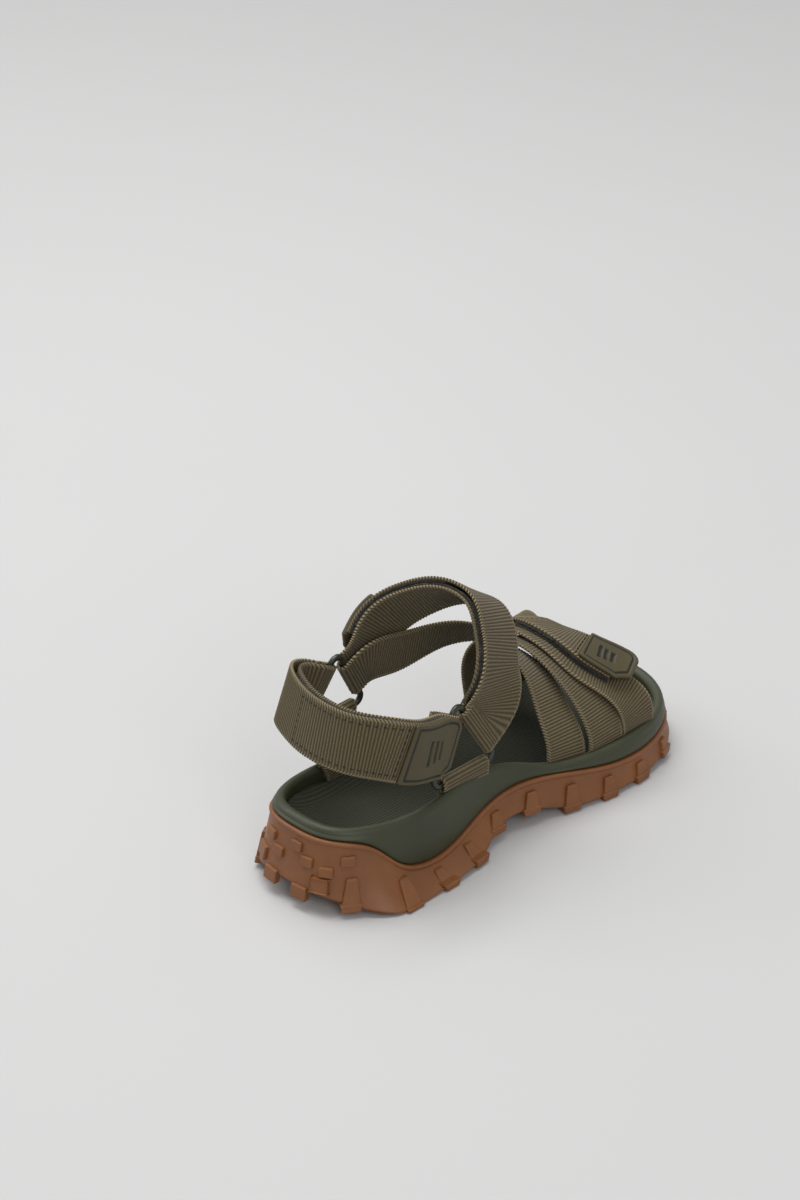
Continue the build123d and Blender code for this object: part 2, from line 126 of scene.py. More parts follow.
class Curve:
    """A smooth curve through points, with knots spaced as the points are."""

    def __init__(self, points: Sequence[Sequence[float]], start: Array | None = None,
                 end: Array | None = None, closed: bool = False) -> None:
        """Fits the curve.

        Args:
            points: Points to pass through.
            start: Direction at the first point, or None to leave it free.
            end: Direction at the last point, or None to leave it free.
            closed: Whether the curve runs on from its last point to its first.
        """
        self.points = np.array(points, float)
        if closed:
            self.points = np.vstack([self.points, self.points[:1]])
        self.gaps = np.linalg.norm(np.diff(self.points, axis=0), axis=1)
        self.knots = np.concatenate([[0.0], np.cumsum(self.gaps)])
        self.slopes = self._slopes(start, end, closed)

    def _slopes(self, start: Array | None, end: Array | None, closed: bool) -> Array:
        """Slopes at the points that give an even second derivative."""
        count = len(self.points)
        rows, given = np.zeros((count, count)), np.zeros_like(self.points)
        steps = np.diff(self.points, axis=0) / self.gaps[:, None]
        for i in range(1, count - 1):
            before, after = 1 / self.gaps[i - 1], 1 / self.gaps[i]
            rows[i, i - 1:i + 2] = before, 2 * (before + after), after
            given[i] = 3 * (steps[i - 1] * before + steps[i] * after)
        if closed:
            before, after = 1 / self.gaps[-1], 1 / self.gaps[0]
            rows[0, [0, 1, count - 2]] = 2 * (before + after), after, before
            given[0] = 3 * (steps[-1] * before + steps[0] * after)
            rows[-1, [0, -1]] = 1, -1
            return np.linalg.solve(rows, given)
        for row, near, way, step in ((0, 1, start, steps[0]), (-1, -2, end, steps[-1])):
            rows[row, row] = 1 if way is not None else 2
            rows[row, near] = 0 if way is not None else 1
            given[row] = way if way is not None else 3 * step
        return np.linalg.solve(rows, given)

    def at(self, t: Array) -> tuple[Array, Array]:
        """Places and directions along the curve.

        Args:
            t: Shares of the whole, from 0 to 1.

        Returns:
            The places and the unit directions there.
        """
        x = np.clip(t, 0, 1) * self.knots[-1]
        i = np.clip(np.searchsorted(self.knots, x, side="right") - 1, 0, len(self.gaps) - 1)
        gap = self.gaps[i][:, None]
        s = ((x - self.knots[i])[:, None]) / gap
        p0, p1, m0, m1 = self.points[i], self.points[i + 1], self.slopes[i] * gap, self.slopes[i + 1] * gap
        place = (2 * s ** 3 - 3 * s ** 2 + 1) * p0 + (s ** 3 - 2 * s ** 2 + s) * m0
        place += (3 * s ** 2 - 2 * s ** 3) * p1 + (s ** 3 - s ** 2) * m1
        way = (6 * s ** 2 - 6 * s) * (p0 - p1) + (3 * s ** 2 - 4 * s + 1) * m0 + (3 * s ** 2 - 2 * s) * m1
        return place, unit(way)


class Profile:
    """A height along the length of the sole, smooth through a few points of (y, z)."""

    def __init__(self, points: Sequence[tuple[float, float]]) -> None:
        """Samples the curve finely, so that a height can be read at any y."""
        self.samples = Curve(points).at(np.linspace(0, 1, 400))[0]

    def __call__(self, y: Array) -> Array:
        """Heights at y."""
        return np.interp(y, self.samples[:, 0], self.samples[:, 1])


def rounded(corners: Sequence[Triple], count: int) -> Array:
    """A closed polygon with rounded corners, as evenly spaced points.

    Args:
        corners: Each corner's two coordinates and its radius, in order.
        count: How many points to give.

    Returns:
        The points, the first not repeated.
    """
    points = []
    for i, (x, y, radius) in enumerate(corners):
        here = np.array((x, y))
        back = unit(np.array(corners[i - 1][:2]) - here)
        fore = unit(np.array(corners[(i + 1) % len(corners)][:2]) - here)
        half = math.acos(np.clip(back @ fore, -1, 1)) / 2
        middle = here + unit(back + fore) * radius / math.sin(half)
        first, last = here + back * radius / math.tan(half), here + fore * radius / math.tan(half)
        for share in np.linspace(0, 1, 12):
            spoke = unit((first - middle) * (1 - share) + (last - middle) * share)
            points.append(middle + spoke * radius)
    loop = np.array(points + points[:1])
    run = np.concatenate([[0.0], np.cumsum(np.linalg.norm(np.diff(loop, axis=0), axis=1))])
    where = np.linspace(0, run[-1], count, endpoint=False)
    return np.stack([np.interp(where, run, loop[:, axis]) for axis in (0, 1)], axis=1)


def distance(points: Array, loop: Array) -> Array:
    """Distance from each point to the nearest of a loop's closely spaced points."""
    out = np.empty(len(points))
    for start in range(0, len(points), 4000):
        part = points[start:start + 4000]
        out[start:start + 4000] = np.sqrt(((part[:, None] - loop[None]) ** 2).sum(-1).min(1))
    return out


# ---- meshes ------------------------------------------------------------------------------


@dataclass
class Skin:
    """A closed surface: a grid rolled into a tube, then welded and capped.

    Attributes:
        columns: Cells round the tube.
        rows: Cells along it.
        place: Gives metres for column and row numbers.
        chart: Gives the pattern map for the same numbers, if the finish follows the surface.
        marks: Named masks, one number for each point.
    """

    columns: int
    rows: int
    place: Place
    chart: Place | None = None
    marks: dict[str, Place] = field(default_factory=dict)

    def mesh(self, name: str) -> bpy.types.Mesh:
        """The finished mesh, faces outward."""
        mesh = bpy.data.meshes.new(name)
        sheet = bmesh.new()
        bmesh.ops.create_grid(sheet, x_segments=self.columns, y_segments=self.rows, size=0.5)
        sheet.to_mesh(mesh)
        sheet.free()
        flat = np.empty(len(mesh.vertices) * 3)
        mesh.vertices.foreach_get("co", flat)
        flat = flat.reshape(-1, 3) + 0.5
        column = np.rint(flat[:, 0] * self.columns).astype(int)
        row = np.rint(flat[:, 1] * self.rows).astype(int)
        mesh.vertices.foreach_set("co", self.place(column % self.columns, row).ravel())
        for mark, value in self.marks.items():
            layer = mesh.attributes.new(mark, "FLOAT", "POINT")
            layer.data.foreach_set("value", value(column % self.columns, row).astype(np.float32))
        if self.chart:
            corners = np.empty(len(mesh.loops), int)
            mesh.loops.foreach_get("vertex_index", corners)
            chart = mesh.uv_layers.new(name="pattern")
            chart.data.foreach_set("uv", self.chart(column, row)[corners].ravel())
        return close(mesh)


def close(mesh: bpy.types.Mesh) -> bpy.types.Mesh:
    """Welds a mesh's seams, fills its open ends and turns its faces outward."""
    shell = bmesh.new()
    shell.from_mesh(mesh)
    bmesh.ops.remove_doubles(shell, verts=shell.verts, dist=2e-6)
    rims = [edge for edge in shell.edges if edge.is_boundary]
    bmesh.ops.holes_fill(shell, edges=rims, sides=0)
    bmesh.ops.recalc_face_normals(shell, faces=shell.faces)
    for face in shell.faces:
        face.smooth = True
    shell.to_mesh(mesh)
    shell.free()
    return mesh


# ---- finishes ----------------------------------------------------------------------------


class Recipe:
    """A material's nodes, added one after another."""

    def __init__(self, name: str) -> None:
        """Starts a material with its surface shader."""
        self.material = bpy.data.materials.new(name)
        self.material.use_nodes = True
        self.tree = self.material.node_tree
        self.surface = self.tree.nodes["Principled BSDF"]
        self.material.use_backface_culling = False

    def node(self, kind: str, *inputs: object, **settings: object) -> bpy.types.NodeSocket:
        """Adds a node.

        Args:
            kind: The node's type name, without its ShaderNode prefix.
            *inputs: Values or sockets for its inputs, in order; None leaves one alone.
            **settings: Properties of the node.

        Returns:
            Its first output that is switched on.
        """
        node = self.tree.nodes.new("ShaderNode" + kind)
        for key, value in settings.items():
            setattr(node, key, value)
        for socket, value in zip([s for s in node.inputs if s.enabled], inputs):
            self.feed(socket, value)
        return next(s for s in node.outputs if s.enabled)

    def feed(self, socket: bpy.types.NodeSocket, value: object) -> None:
        """Links a socket to another, or sets its value; None leaves it alone."""
        if isinstance(value, bpy.types.NodeSocket):
            self.tree.links.new(value, socket)
        elif value is not None:
            socket.default_value = value

    def math(self, operation: str, first: object, second: object = None) -> bpy.types.NodeSocket:
        """A sum of one or two numbers."""
        return self.node("Math", first, second, operation=operation)

    def object_point(self) -> bpy.types.NodeSocket:
        """Place on the object."""
        node = self.tree.nodes.new("ShaderNodeTexCoord")
        return node.outputs["Object"]

    def split(self, vector: bpy.types.NodeSocket) -> tuple[bpy.types.NodeSocket, ...]:
        """The three parts of a vector."""
        node = self.tree.nodes.new("ShaderNodeSeparateXYZ")
        self.feed(node.inputs[0], vector)
        return tuple(node.outputs)

    def noise(self, place: bpy.types.NodeSocket, scale: float, detail: float = 3.0) -> bpy.types.NodeSocket:
        """Soft random values from 0 to 1."""
        node = self.tree.nodes.new("ShaderNodeTexNoise")
        self.feed(node.inputs["Vector"], place)
        self.feed(node.inputs["Scale"], scale)
        self.feed(node.inputs["Detail"], detail)
        return node.outputs["Fac"]

    def stretch(self, place: bpy.types.NodeSocket, scale: Triple) -> bpy.types.NodeSocket:
        """A place scaled by axis."""
        node = self.tree.nodes.new("ShaderNodeMapping")
        self.feed(node.inputs["Vector"], place)
        self.feed(node.inputs["Scale"], scale)
        return node.outputs[0]

    def blend(self, share: object, first: object, second: object) -> bpy.types.NodeSocket:
        """A colour between two."""
        node = self.tree.nodes.new("ShaderNodeMix")
        node.data_type = "RGBA"
        colours = [s for s in node.inputs if s.enabled and s.type == "RGBA"]
        self.feed(node.inputs["Factor"], share)
        self.feed(colours[0], shade(first))
        self.feed(colours[1], shade(second))
        return next(s for s in node.outputs if s.enabled and s.type == "RGBA")

    def spread(self, value: object, low: float, high: float) -> bpy.types.NodeSocket:
        """A number from 0 to 1 taken to a range from low to high."""
        return self.node("MapRange", value, 0.0, 1.0, low, high)

    def mark(self, name: str) -> bpy.types.NodeSocket:
        """A mask kept on the mesh."""
        node = self.tree.nodes.new("ShaderNodeAttribute")
        node.attribute_name = name
        return node.outputs["Fac"]

    def finish(self, colour: object, roughness: object, height: object, depth: float,
               sheen: float = 0.0) -> bpy.types.Material:
        """Sets the surface.

        Args:
            colour: Base colour or the socket that gives it.
            roughness: Roughness or the socket that gives it.
            height: The socket that gives the relief, from 0 to 1.
            depth: Metres that the relief stands for.
            sheen: How much fibre sheen there is.

        Returns:
            The material.
        """
        self.feed(self.surface.inputs["Base Color"], shade(colour))
        self.feed(self.surface.inputs["Roughness"], roughness)
        self.feed(self.surface.inputs["Sheen Weight"], sheen)
        self.feed(self.surface.inputs["Sheen Roughness"], 0.5)
        bump = self.tree.nodes.new("ShaderNodeBump")
        bump.inputs["Strength"].default_value = 1.0
        bump.inputs["Distance"].default_value = depth
        self.feed(bump.inputs["Height"], height)
        self.feed(self.surface.inputs["Normal"], bump.outputs[0])
        return self.material


def shade(colour: object) -> object:
    """A colour of three numbers with its alpha added; a socket is left as it is."""
    if isinstance(colour, tuple) and len(colour) == 3:
        return (*colour, 1.0)
    return colour


@dataclass(frozen=True)
class Woven:
    """Ribbed polyester webbing: ribs across it with painted shade in their grooves, and a zigzag edge of
    another tone.
    """

    name: str = "webbing_khaki"
    # crest is the rib tops' colour; groove is painted shade for the rib grooves, also the dark end of the
    # yarn mottle
    crest: Triple = (0.238, 0.187, 0.099)
    groove: Triple = (0.05, 0.039, 0.018)
    edge_light: Triple = (0.26, 0.205, 0.115)
    edge_dark: Triple = (0.045, 0.035, 0.018)
    rib: float = 1.8
    zigzag: float = 1.8

    def material(self) -> bpy.types.Material:
        """The webbing's material, on the pattern map in metres along and across."""
        mix = Recipe(self.name)
        chart = mix.node("UVMap", uv_map="pattern")
        along, across, _ = mix.split(chart)
        turns = 2 * math.pi / (self.rib * MM)
        rib = mix.math("SINE", mix.math("MULTIPLY", along, turns))
        yarn = mix.noise(mix.stretch(chart, (500.0, 3800.0, 1.0)), 1.0, 2.0)
        rib_height = mix.spread(mix.math("ADD", mix.math("MULTIPLY", rib, 0.5), 0.5), 0.0, 1.0)
        crest = mix.blend(mix.spread(yarn, -0.25, 1.25), self.groove, self.crest)
        # painted shade: the rib grooves are darkened toward the groove colour
        body = mix.blend(rib_height, self.groove, crest)
        slant = mix.math("ADD", along, mix.math("MULTIPLY", mix.math("ABSOLUTE", across), 0.8))
        teeth = mix.math("SINE", mix.math("MULTIPLY", slant, 2 * math.pi / (self.zigzag * MM)))
        teeth = mix.math("ADD", mix.math("MULTIPLY", teeth, 0.5), 0.5)
        edge = mix.blend(teeth, self.edge_dark, self.edge_light)
        selvedge = mix.mark("selvedge")
        colour = mix.blend(selvedge, body, edge)
        worn = mix.noise(mix.object_point(), 45.0, 4.0)
        dusky = mix.blend(0.28, colour, (0.02, 0.018, 0.012))
        colour = mix.blend(mix.spread(worn, -0.2, 0.55), colour, dusky)
        relief = mix.math("ADD", mix.math("MULTIPLY", rib_height, 0.55), mix.math("MULTIPLY", yarn, 0.45))
        mix.surface.inputs["Specular IOR Level"].default_value = 0.25
        return mix.finish(colour, 0.82, relief, 0.00032, sheen=0.12)


@dataclass(frozen=True)
class Pile:
    """Hook or loop pile: short dark fibres."""

    name: str
    light: Triple
    dark: Triple
    grain: float = 2600.0

    def material(self) -> bpy.types.Material:
        """The pile's material."""
        mix = Recipe(self.name)
        place = mix.object_point()
        tufts = mix.noise(place, self.grain, 4.0)
        patches = mix.noise(place, 160.0, 2.0)
        fibre = mix.spread(mix.math("MULTIPLY", tufts, patches), -0.1, 1.6)
        mix.surface.inputs["Specular IOR Level"].default_value = 0.2
        return mix.finish(mix.blend(fibre, self.dark, self.light), 0.95, tufts, 0.0006, sheen=0.2)


@dataclass(frozen=True)
class Moulded:
    """Moulded foam, rubber or plastic with a fine pebbled skin.

    Attributes:
        name: The material's name.
        light: Colour where the skin is rubbed.
        dark: Colour in its hollows.
        roughness: Lowest and highest roughness.
        pebble: How many grains there are in a metre.
        depth: Metres from hollow to grain.
        groove: Darker colour laid in a sunk groove marked on the mesh, if there is one.
    """

    name: str
    light: Triple
    dark: Triple
    roughness: tuple[float, float]
    pebble: float = 1500.0
    depth: float = 0.00012
    groove: Triple | None = None

    def material(self) -> bpy.types.Material:
        """The moulded surface's material."""
        mix = Recipe(self.name)
        place = mix.object_point()
        grains = mix.noise(place, self.pebble, 3.0)
        clouds = mix.noise(place, 38.0, 4.0)
        colour = mix.blend(mix.spread(clouds, -0.3, 1.3), self.dark, self.light)
        colour = mix.blend(mix.spread(grains, 0.0, 0.5), colour, self.dark)
        if self.groove:
            colour = mix.blend(mix.mark("groove"), colour, self.groove)
        return mix.finish(colour, mix.spread(clouds, *self.roughness), grains, self.depth)


@dataclass(frozen=True)
class RibbedFoam:
    """Footbed foam: fine ribs along the foot with painted shade in their troughs, rubbed paler where the foot
    rests.
    """

    name: str = "footbed_ribbed"
    light: Triple = (0.062, 0.067, 0.041)
    # dark also serves as painted shade in the rib troughs
    dark: Triple = (0.021, 0.023, 0.013)
    rib: float = 2.1

    def material(self) -> bpy.types.Material:
        """The ribbed foam's material."""
        mix = Recipe(self.name)
        place = mix.object_point()
        side, _, _ = mix.split(place)
        wave = mix.math("SINE", mix.math("MULTIPLY", side, 2 * math.pi / (self.rib * MM)))
        ribs = mix.math("ADD", mix.math("MULTIPLY", wave, 0.5), 0.5)
        grains = mix.noise(place, 1700.0, 3.0)
        worn = mix.noise(place, 30.0, 4.0)
        colour = mix.blend(mix.spread(worn, -0.2, 1.2), self.dark, self.light)
        # painted shade: the rib troughs are darkened toward the dark colour
        colour = mix.blend(mix.spread(ribs, 0.0, 0.75), self.dark, colour)
        relief = mix.math("ADD", mix.math("MULTIPLY", ribs, 0.75), mix.math("MULTIPLY", grains, 0.25))
        mix.surface.inputs["Specular IOR Level"].default_value = 0.3
        return mix.finish(colour, mix.spread(worn, 0.62, 0.85), relief, 0.0005)


class Finishes:
    """Every finish of the sandal, made once."""

    def __init__(self) -> None:
        """Makes the materials."""
        self.webbing = Woven().material()
        self.hook = Pile("hook_pile_dark", (0.05, 0.045, 0.03), (0.008, 0.007, 0.005)).material()
        self.loop = Pile("loop_pile_dark", (0.07, 0.06, 0.04), (0.012, 0.01, 0.007), 1900.0).material()
        self.rubber = Moulded("gum_rubber_caramel", (0.262, 0.097, 0.025), (0.148, 0.05, 0.012), (0.4, 0.56),
                              pebble=900.0, depth=0.00008).material()
        self.foam = Moulded("midsole_green", (0.042, 0.047, 0.0185), (0.025, 0.029, 0.011), (0.4, 0.58),
                            depth=0.00006).material()
        self.footbed = RibbedFoam().material()
        self.ring = Moulded("ring_green", (0.03, 0.034, 0.02), (0.014, 0.017, 0.01), (0.24, 0.36),
                            depth=0.00003).material()
        self.tab = Moulded("tab_olive", (0.072, 0.057, 0.019), (0.05, 0.04, 0.014), (0.48, 0.64),
                           depth=0.00005, groove=(0.008, 0.007, 0.004)).material()
        self.thread = Moulded("thread_black", (0.018, 0.016, 0.012), (0.006, 0.005, 0.004), (0.6, 0.8),
                              pebble=5200.0, depth=0.0002).material()


def add(name: str, mesh: bpy.types.Mesh, material: bpy.types.Material, slot: Slot,
        body: Body | None = Body.SANDAL, stands_for: Sequence[str] = ()) -> bpy.types.Object:
    """Puts a finished mesh in the scene.

    Args:
        name: The piece's name.
        mesh: Its mesh, in place in the row frame.
        material: Its material.
        slot: The record's slot that the material stands for; not used.
        body: The body it rides on, or None to leave it on no body.
        stands_for: CAD nodes that it replaces.

    Returns:
        The piece.
    """
    piece = bpy.data.objects.new(name, mesh)
    bpy.context.scene.collection.objects.link(piece)
    mesh.materials.clear()
    mesh.materials.append(material)
    if body:
        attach(piece, body.value)
    if stands_for:
        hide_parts(*stands_for)
    LOG.info("%s: %d faces", name, len(mesh.polygons))
    return piece


# ---- rings and bands ---------------------------------------------------------------------


@dataclass
class Ring:
    """A flat triangular ring, one corner up, that three webbings hook on.

    Attributes:
        centre: Its middle.
        lean: How far it leans over the foot, per unit of height.
        side: 1 on the outer side of the foot, -1 on the inner.
    """

    centre: Triple
    lean: float
    side: int

    def __post_init__(self) -> None:
        """Works out the ring's own axes."""
        self.up = unit(np.array((-self.lean * self.side, 0, 1)))
        self.out = unit(np.array((self.side, 0, self.lean)))
        self.bars = {"rear": 150, "front": 30, "low": -90}

    def bar(self, name: str, out: float) -> tuple[Array, Array, Array]:
        """A bar of the ring.

        Args:
            name: Which bar.
            out: Distance of the place from the ring's plane.

        Returns:
            The bar's middle, the way out over it and its own direction.
        """
        angle = math.radians(self.bars[name])
        away = FORE * math.cos(angle) + self.up * math.sin(angle)
        run = FORE * -math.sin(angle) + self.up * math.cos(angle)
        return np.array(self.centre) + away * (RING_INRADIUS - RING_BAR / 2) + self.out * out, away, run

    def way(self, name: str) -> Array:
        """Way out over a bar, square to it."""
        return self.bar(name, 0)[1]

    def stations(self, name: str, out: float, reach: float, flip: int) -> list[Station]:
        """Stations straight over a bar, from its hole edge to `reach` beyond it."""
        middle, away, run = self.bar(name, out)
        inside = middle - away * (RING_BAR / 2 - RING_ROUND)
        return [(place, run * flip) for place in (inside, middle + away * reach / 2, middle + away * reach)]

    def build(self, name: str, material: bpy.types.Material, node: str) -> bpy.types.Object:
        """Makes the ring: a rounded bar bent round a triangle."""
        corner = 2 * (RING_INRADIUS - RING_BAR / 2)
        bend = 4.25
        triangle = [(corner * math.cos(a), corner * math.sin(a), bend)
                    for a in (math.radians(d) for d in (90, 210, 330))]
        loop = rounded(triangle, 144)
        spoke = unit(np.roll(loop, -1, 0) - np.roll(loop, 1, 0))[:, ::-1] * (1, -1)
        half = (RING_BAR / 2, RING_THICK / 2, 1.05)
        turns = ((-1, -1), (1, -1), (1, 1), (-1, 1))
        section = rounded([(x * half[0], y * half[1], half[2]) for x, y in turns], 28)

        def place(column: Array, row: Array) -> Array:
            """Section swept round the triangle."""
            row = row % len(loop)
            flat = loop[row] + spoke[row] * section[column, :1]
            lifted = self.out * section[column, 1:]
            return metres(np.array(self.centre) + flat[:, :1] * FORE + flat[:, 1:] * self.up + lifted)

        mesh = Skin(len(section), len(loop), place).mesh(name)
        return add(name, mesh, material, Slot.RING, stands_for=(node,))


class Frames(NamedTuple):
    """Places on a band's inner face and its own axes there."""

    middle: Array
    along: Array
    across: Array
    out: Array


@dataclass
class Band:
    """The run of a strap: its inner face follows stations of (middle, way across).

    Attributes:
        stations: The stations in order.
        width: Width of the webbing.
        ways: Directions in which the run sets off and arrives.
    """

    stations: list[Station]
    width: float
    ways: tuple[Array, Array]

    def __post_init__(self) -> None:
        """Fits a curve to each edge of the band."""
        middles = np.array([np.array(p, float) for p, _ in self.stations])
        halves = np.array([unit(np.array(w, float)) for _, w in self.stations]) * self.width / 2
        self.left = Curve(middles - halves, *self.ways)
        self.right = Curve(middles + halves, *self.ways)
        edge = np.linspace(0, 1, 300)
        rails = [rail.at(edge)[0] for rail in (self.left, self.right)]
        runs = [np.linalg.norm(np.diff(places, axis=0), axis=1).sum() for places in rails]
        self.length = sum(runs) / 2

    def frames(self, t: Array) -> Frames:
        """Places and axes at shares of the run."""
        t = np.atleast_1d(np.asarray(t, float))
        left, left_way = self.left.at(t)
        right, right_way = self.right.at(t)
        along = unit(left_way + right_way)
        across = right - left
        across = unit(across - along * (across * along).sum(1, keepdims=True))
        return Frames((left + right) / 2, along, across, np.cross(along, across))

    def point(self, t: Array, side: Array, level: Array) -> Array:
        """Points `side` from the middle line and `level` above the inner face."""
        at = self.frames(t)
        return at.middle + at.across * np.reshape(side, (-1, 1)) + at.out * np.reshape(level, (-1, 1))

    def gap(self, millimetres: float) -> float:
        """A length along the run as a share of it."""
        return millimetres / self.length


class Route:
    """The middle of a tape as it runs along a band and turns round ring bars."""

    def __init__(self, band: Band) -> None:
        """Starts a route on a band."""
        self.band = band
        self.face = 1.0
        self.parts: list[tuple[Array, Array, Array]] = []

    def run(self, start: float, end: float, low: float, high: float | None = None,
            slides: tuple[float, float] = (0.0, 0.0)) -> "Route":
        """Follows the band from share `start` to `end`.

        Args:
            start: Where the run begins.
            end: Where it ends.
            low: Level of the tape's inner face at the start.
            high: Level at the end, if it differs.
            slides: How far aside it lies at the start and the end.

        Returns:
            The route, to go on with.
        """
        high = low if high is None else high
        count = max(8, int(abs(end - start) * self.band.length / 0.8))
        share = np.linspace(0, 1, count)[:, None]
        at = self.band.frames(start + (end - start) * share[:, 0])
        level = low + (high - low) * share + WEB / 2
        place = at.middle + at.across * (slides[0] + (slides[1] - slides[0]) * share) + at.out * level
        self.parts.append((place, at.across, at.out * self.face))
        return self

    def turn(self, end: float, low: float, centre: float = RING_LEVEL) -> "Route":
        """Half a turn about a ring bar at one end of the band, from inner-face level `low`."""
        at = self.band.frames(end)
        away = at.along * (1 if end > 0.5 else -1)
        drop = low + WEB / 2 - centre
        angle = np.linspace(0, math.pi, 24)[:, None]
        hub = at.middle + at.out * centre
        place = hub + at.out * drop * np.cos(angle) + away * abs(drop) * np.sin(angle)
        normal = self.face * (at.out * np.cos(angle) + away * np.sign(drop) * np.sin(angle))
        self.parts.append((place, np.repeat(at.across, len(angle), 0), normal))
        self.face = -self.face
        return self

    def sampled(self, step: float) -> tuple[Array, Array, Array]:
        """Places, ways across and normals, evenly spaced."""
        place, across, normal = (np.vstack(column) for column in zip(*self.parts))
        gaps = np.linalg.norm(np.diff(place, axis=0), axis=1)
        keep = np.concatenate([[True], gaps > 1e-6])
        place, across, normal = place[keep], across[keep], normal[keep]
        run = np.concatenate([[0.0], np.cumsum(np.linalg.norm(np.diff(place, axis=0), axis=1))])
        where = np.linspace(0, run[-1], max(2, round(run[-1] / step)) + 1)
        even = [np.stack([np.interp(where, run, data[:, axis]) for axis in range(3)], 1)
                for data in (place, across, normal)]
        return even[0], unit(even[1]), unit(even[2])


@dataclass
class Tape:
    """A length of webbing or pile with rounded edges.

    Attributes:
        name: The piece's name.
        route: Where its middle runs.
        width: Its width.
        thickness: Its thickness.
        step: Distance between its rows of points.
        seed: Pile only: start of its random fibres; webbing has None.
    """

    name: str
    route: Route
    width: float
    thickness: float = WEB
    step: float = 0.36
    seed: int | None = None
    relief: float = 0.19
    selvedge: float = 2.0
    tooth: float = 1.8
    rib: float = 1.8
    fold: float = 0.0
    fold_pitch: float = 8.0
    fold_run: tuple[float, float] = (0.0, 0.0)

    def section(self) -> Array:
        """The tape's section, closed: (side, height) from its middle."""
        round_edge = self.thickness / 2 * 0.92
        half = self.width / 2 - round_edge
        fine = self.selvedge + round_edge
        flat = np.concatenate([
            np.linspace(-half, fine - half, 3),
            np.linspace(fine - half, half - fine, 9)[1:-1],
            np.linspace(half - fine, half, 3),
        ])
        bend = np.radians(np.linspace(-90, 90, 6)[1:-1])
        edge = np.stack([half + round_edge * np.cos(bend), self.thickness / 2 * np.sin(bend)], 1)
        low = np.stack([flat, np.full_like(flat, -self.thickness / 2)], 1)
        return np.vstack([low, edge, -low, -edge])

    def shifts(self, side: Array, height: Array, run: Array, column: Array,
               row: Array) -> tuple[Array, Array]:
        """Relief of the weave, or random fibres of a pile, as shifts sideways and outward."""
        flat = ease(self.width / 2 - np.abs(side), self.selvedge * 0.7, self.selvedge * 1.2)
        if self.seed is not None:
            fibres = np.random.default_rng(self.seed).normal(size=(64, 2000, 2))
            tuft = fibres[column, row % 2000]
            return tuft[:, 0] * 0.28 * (1 - flat), tuft[:, 1] * 0.08 * (0.4 + flat) * np.sign(height)
        rib = np.sin(2 * np.pi * run / self.rib)
        tooth = np.sin(2 * np.pi * run / self.tooth)
        lift = self.relief * (rib * flat + 0.7 * tooth * (1 - flat)) * height / (self.thickness / 2)
        return np.sign(side) * 0.2 * tooth * (1 - flat), lift

    def creases(self, side: Array, run: Array) -> Array:
        """Soft folds across a gathered stretch, as a shift outward."""
        if not self.fold:
            return np.zeros_like(run)
        first, last = self.fold_run
        within = ease(run, first, first + 5) * (1 - ease(run, last - 5, last))
        slant = run + 0.22 * side + 0.9 * np.sin(side * 0.31 + 1.0)
        return self.fold * within * (0.5 + 0.5 * np.sin(2 * np.pi * slant / self.fold_pitch))

    def mesh(self) -> bpy.types.Mesh:
        """The tape's mesh."""
        place, across, normal = self.route.sampled(self.step)
        section = self.section()
        run = np.arange(len(place)) * self.step

        def spot(column: Array, row: Array) -> Array:
            """Section points with their relief."""
            side, height = section[column].T
            aside, lift = self.shifts(side, height, run[row], column, row)
            lift = lift + self.creases(side, run[row])
            reach = across[row] * (side + aside)[:, None] + normal[row] * (height + lift)[:, None]
            return metres(place[row] + reach)

        def chart(column: Array, row: Array) -> Array:
            """Metres along and across."""
            return np.stack([run[row], section[column % len(section), 0]], 1) * MM

        def selvedge(column: Array, row: Array) -> Array:
            """1 on the woven edges."""
            inner = self.width / 2 - np.abs(section[column, 0])
            return 1 - ease(inner, self.selvedge * 0.85, self.selvedge * 1.15)

        skin = Skin(len(section), len(place) - 1, spot, chart, {"selvedge": selvedge})
        return skin.mesh(self.name)


# ---- sole --------------------------------------------------------------------------------


class Ledge(NamedTuple):
    """One row of a sole piece, all the way round it.

    Attributes:
        out: Distance outside the outline.
        pull: How far it is drawn from the outline to the sole's middle line, from 0 to 1.
        height: Gives z for (x, y) places.
    """

    out: Array | float
    pull: float
    height: Callable[[Array], Array]


@dataclass(frozen=True)
class Block:
    """A raised block of rubber on the outsole's wall or under its edge.

    Attributes:
        column: Where it stands round the outline.
        low: Height of its foot.
        high: Height of its top.
        halves: Half its width at its foot and at its top.
        outs: How far outside the outline its foot and its top stand.
        depth: How far it reaches inward.
    """

    column: int
    low: float
    high: float
    halves: tuple[float, float]
    outs: tuple[float, float]
    depth: float


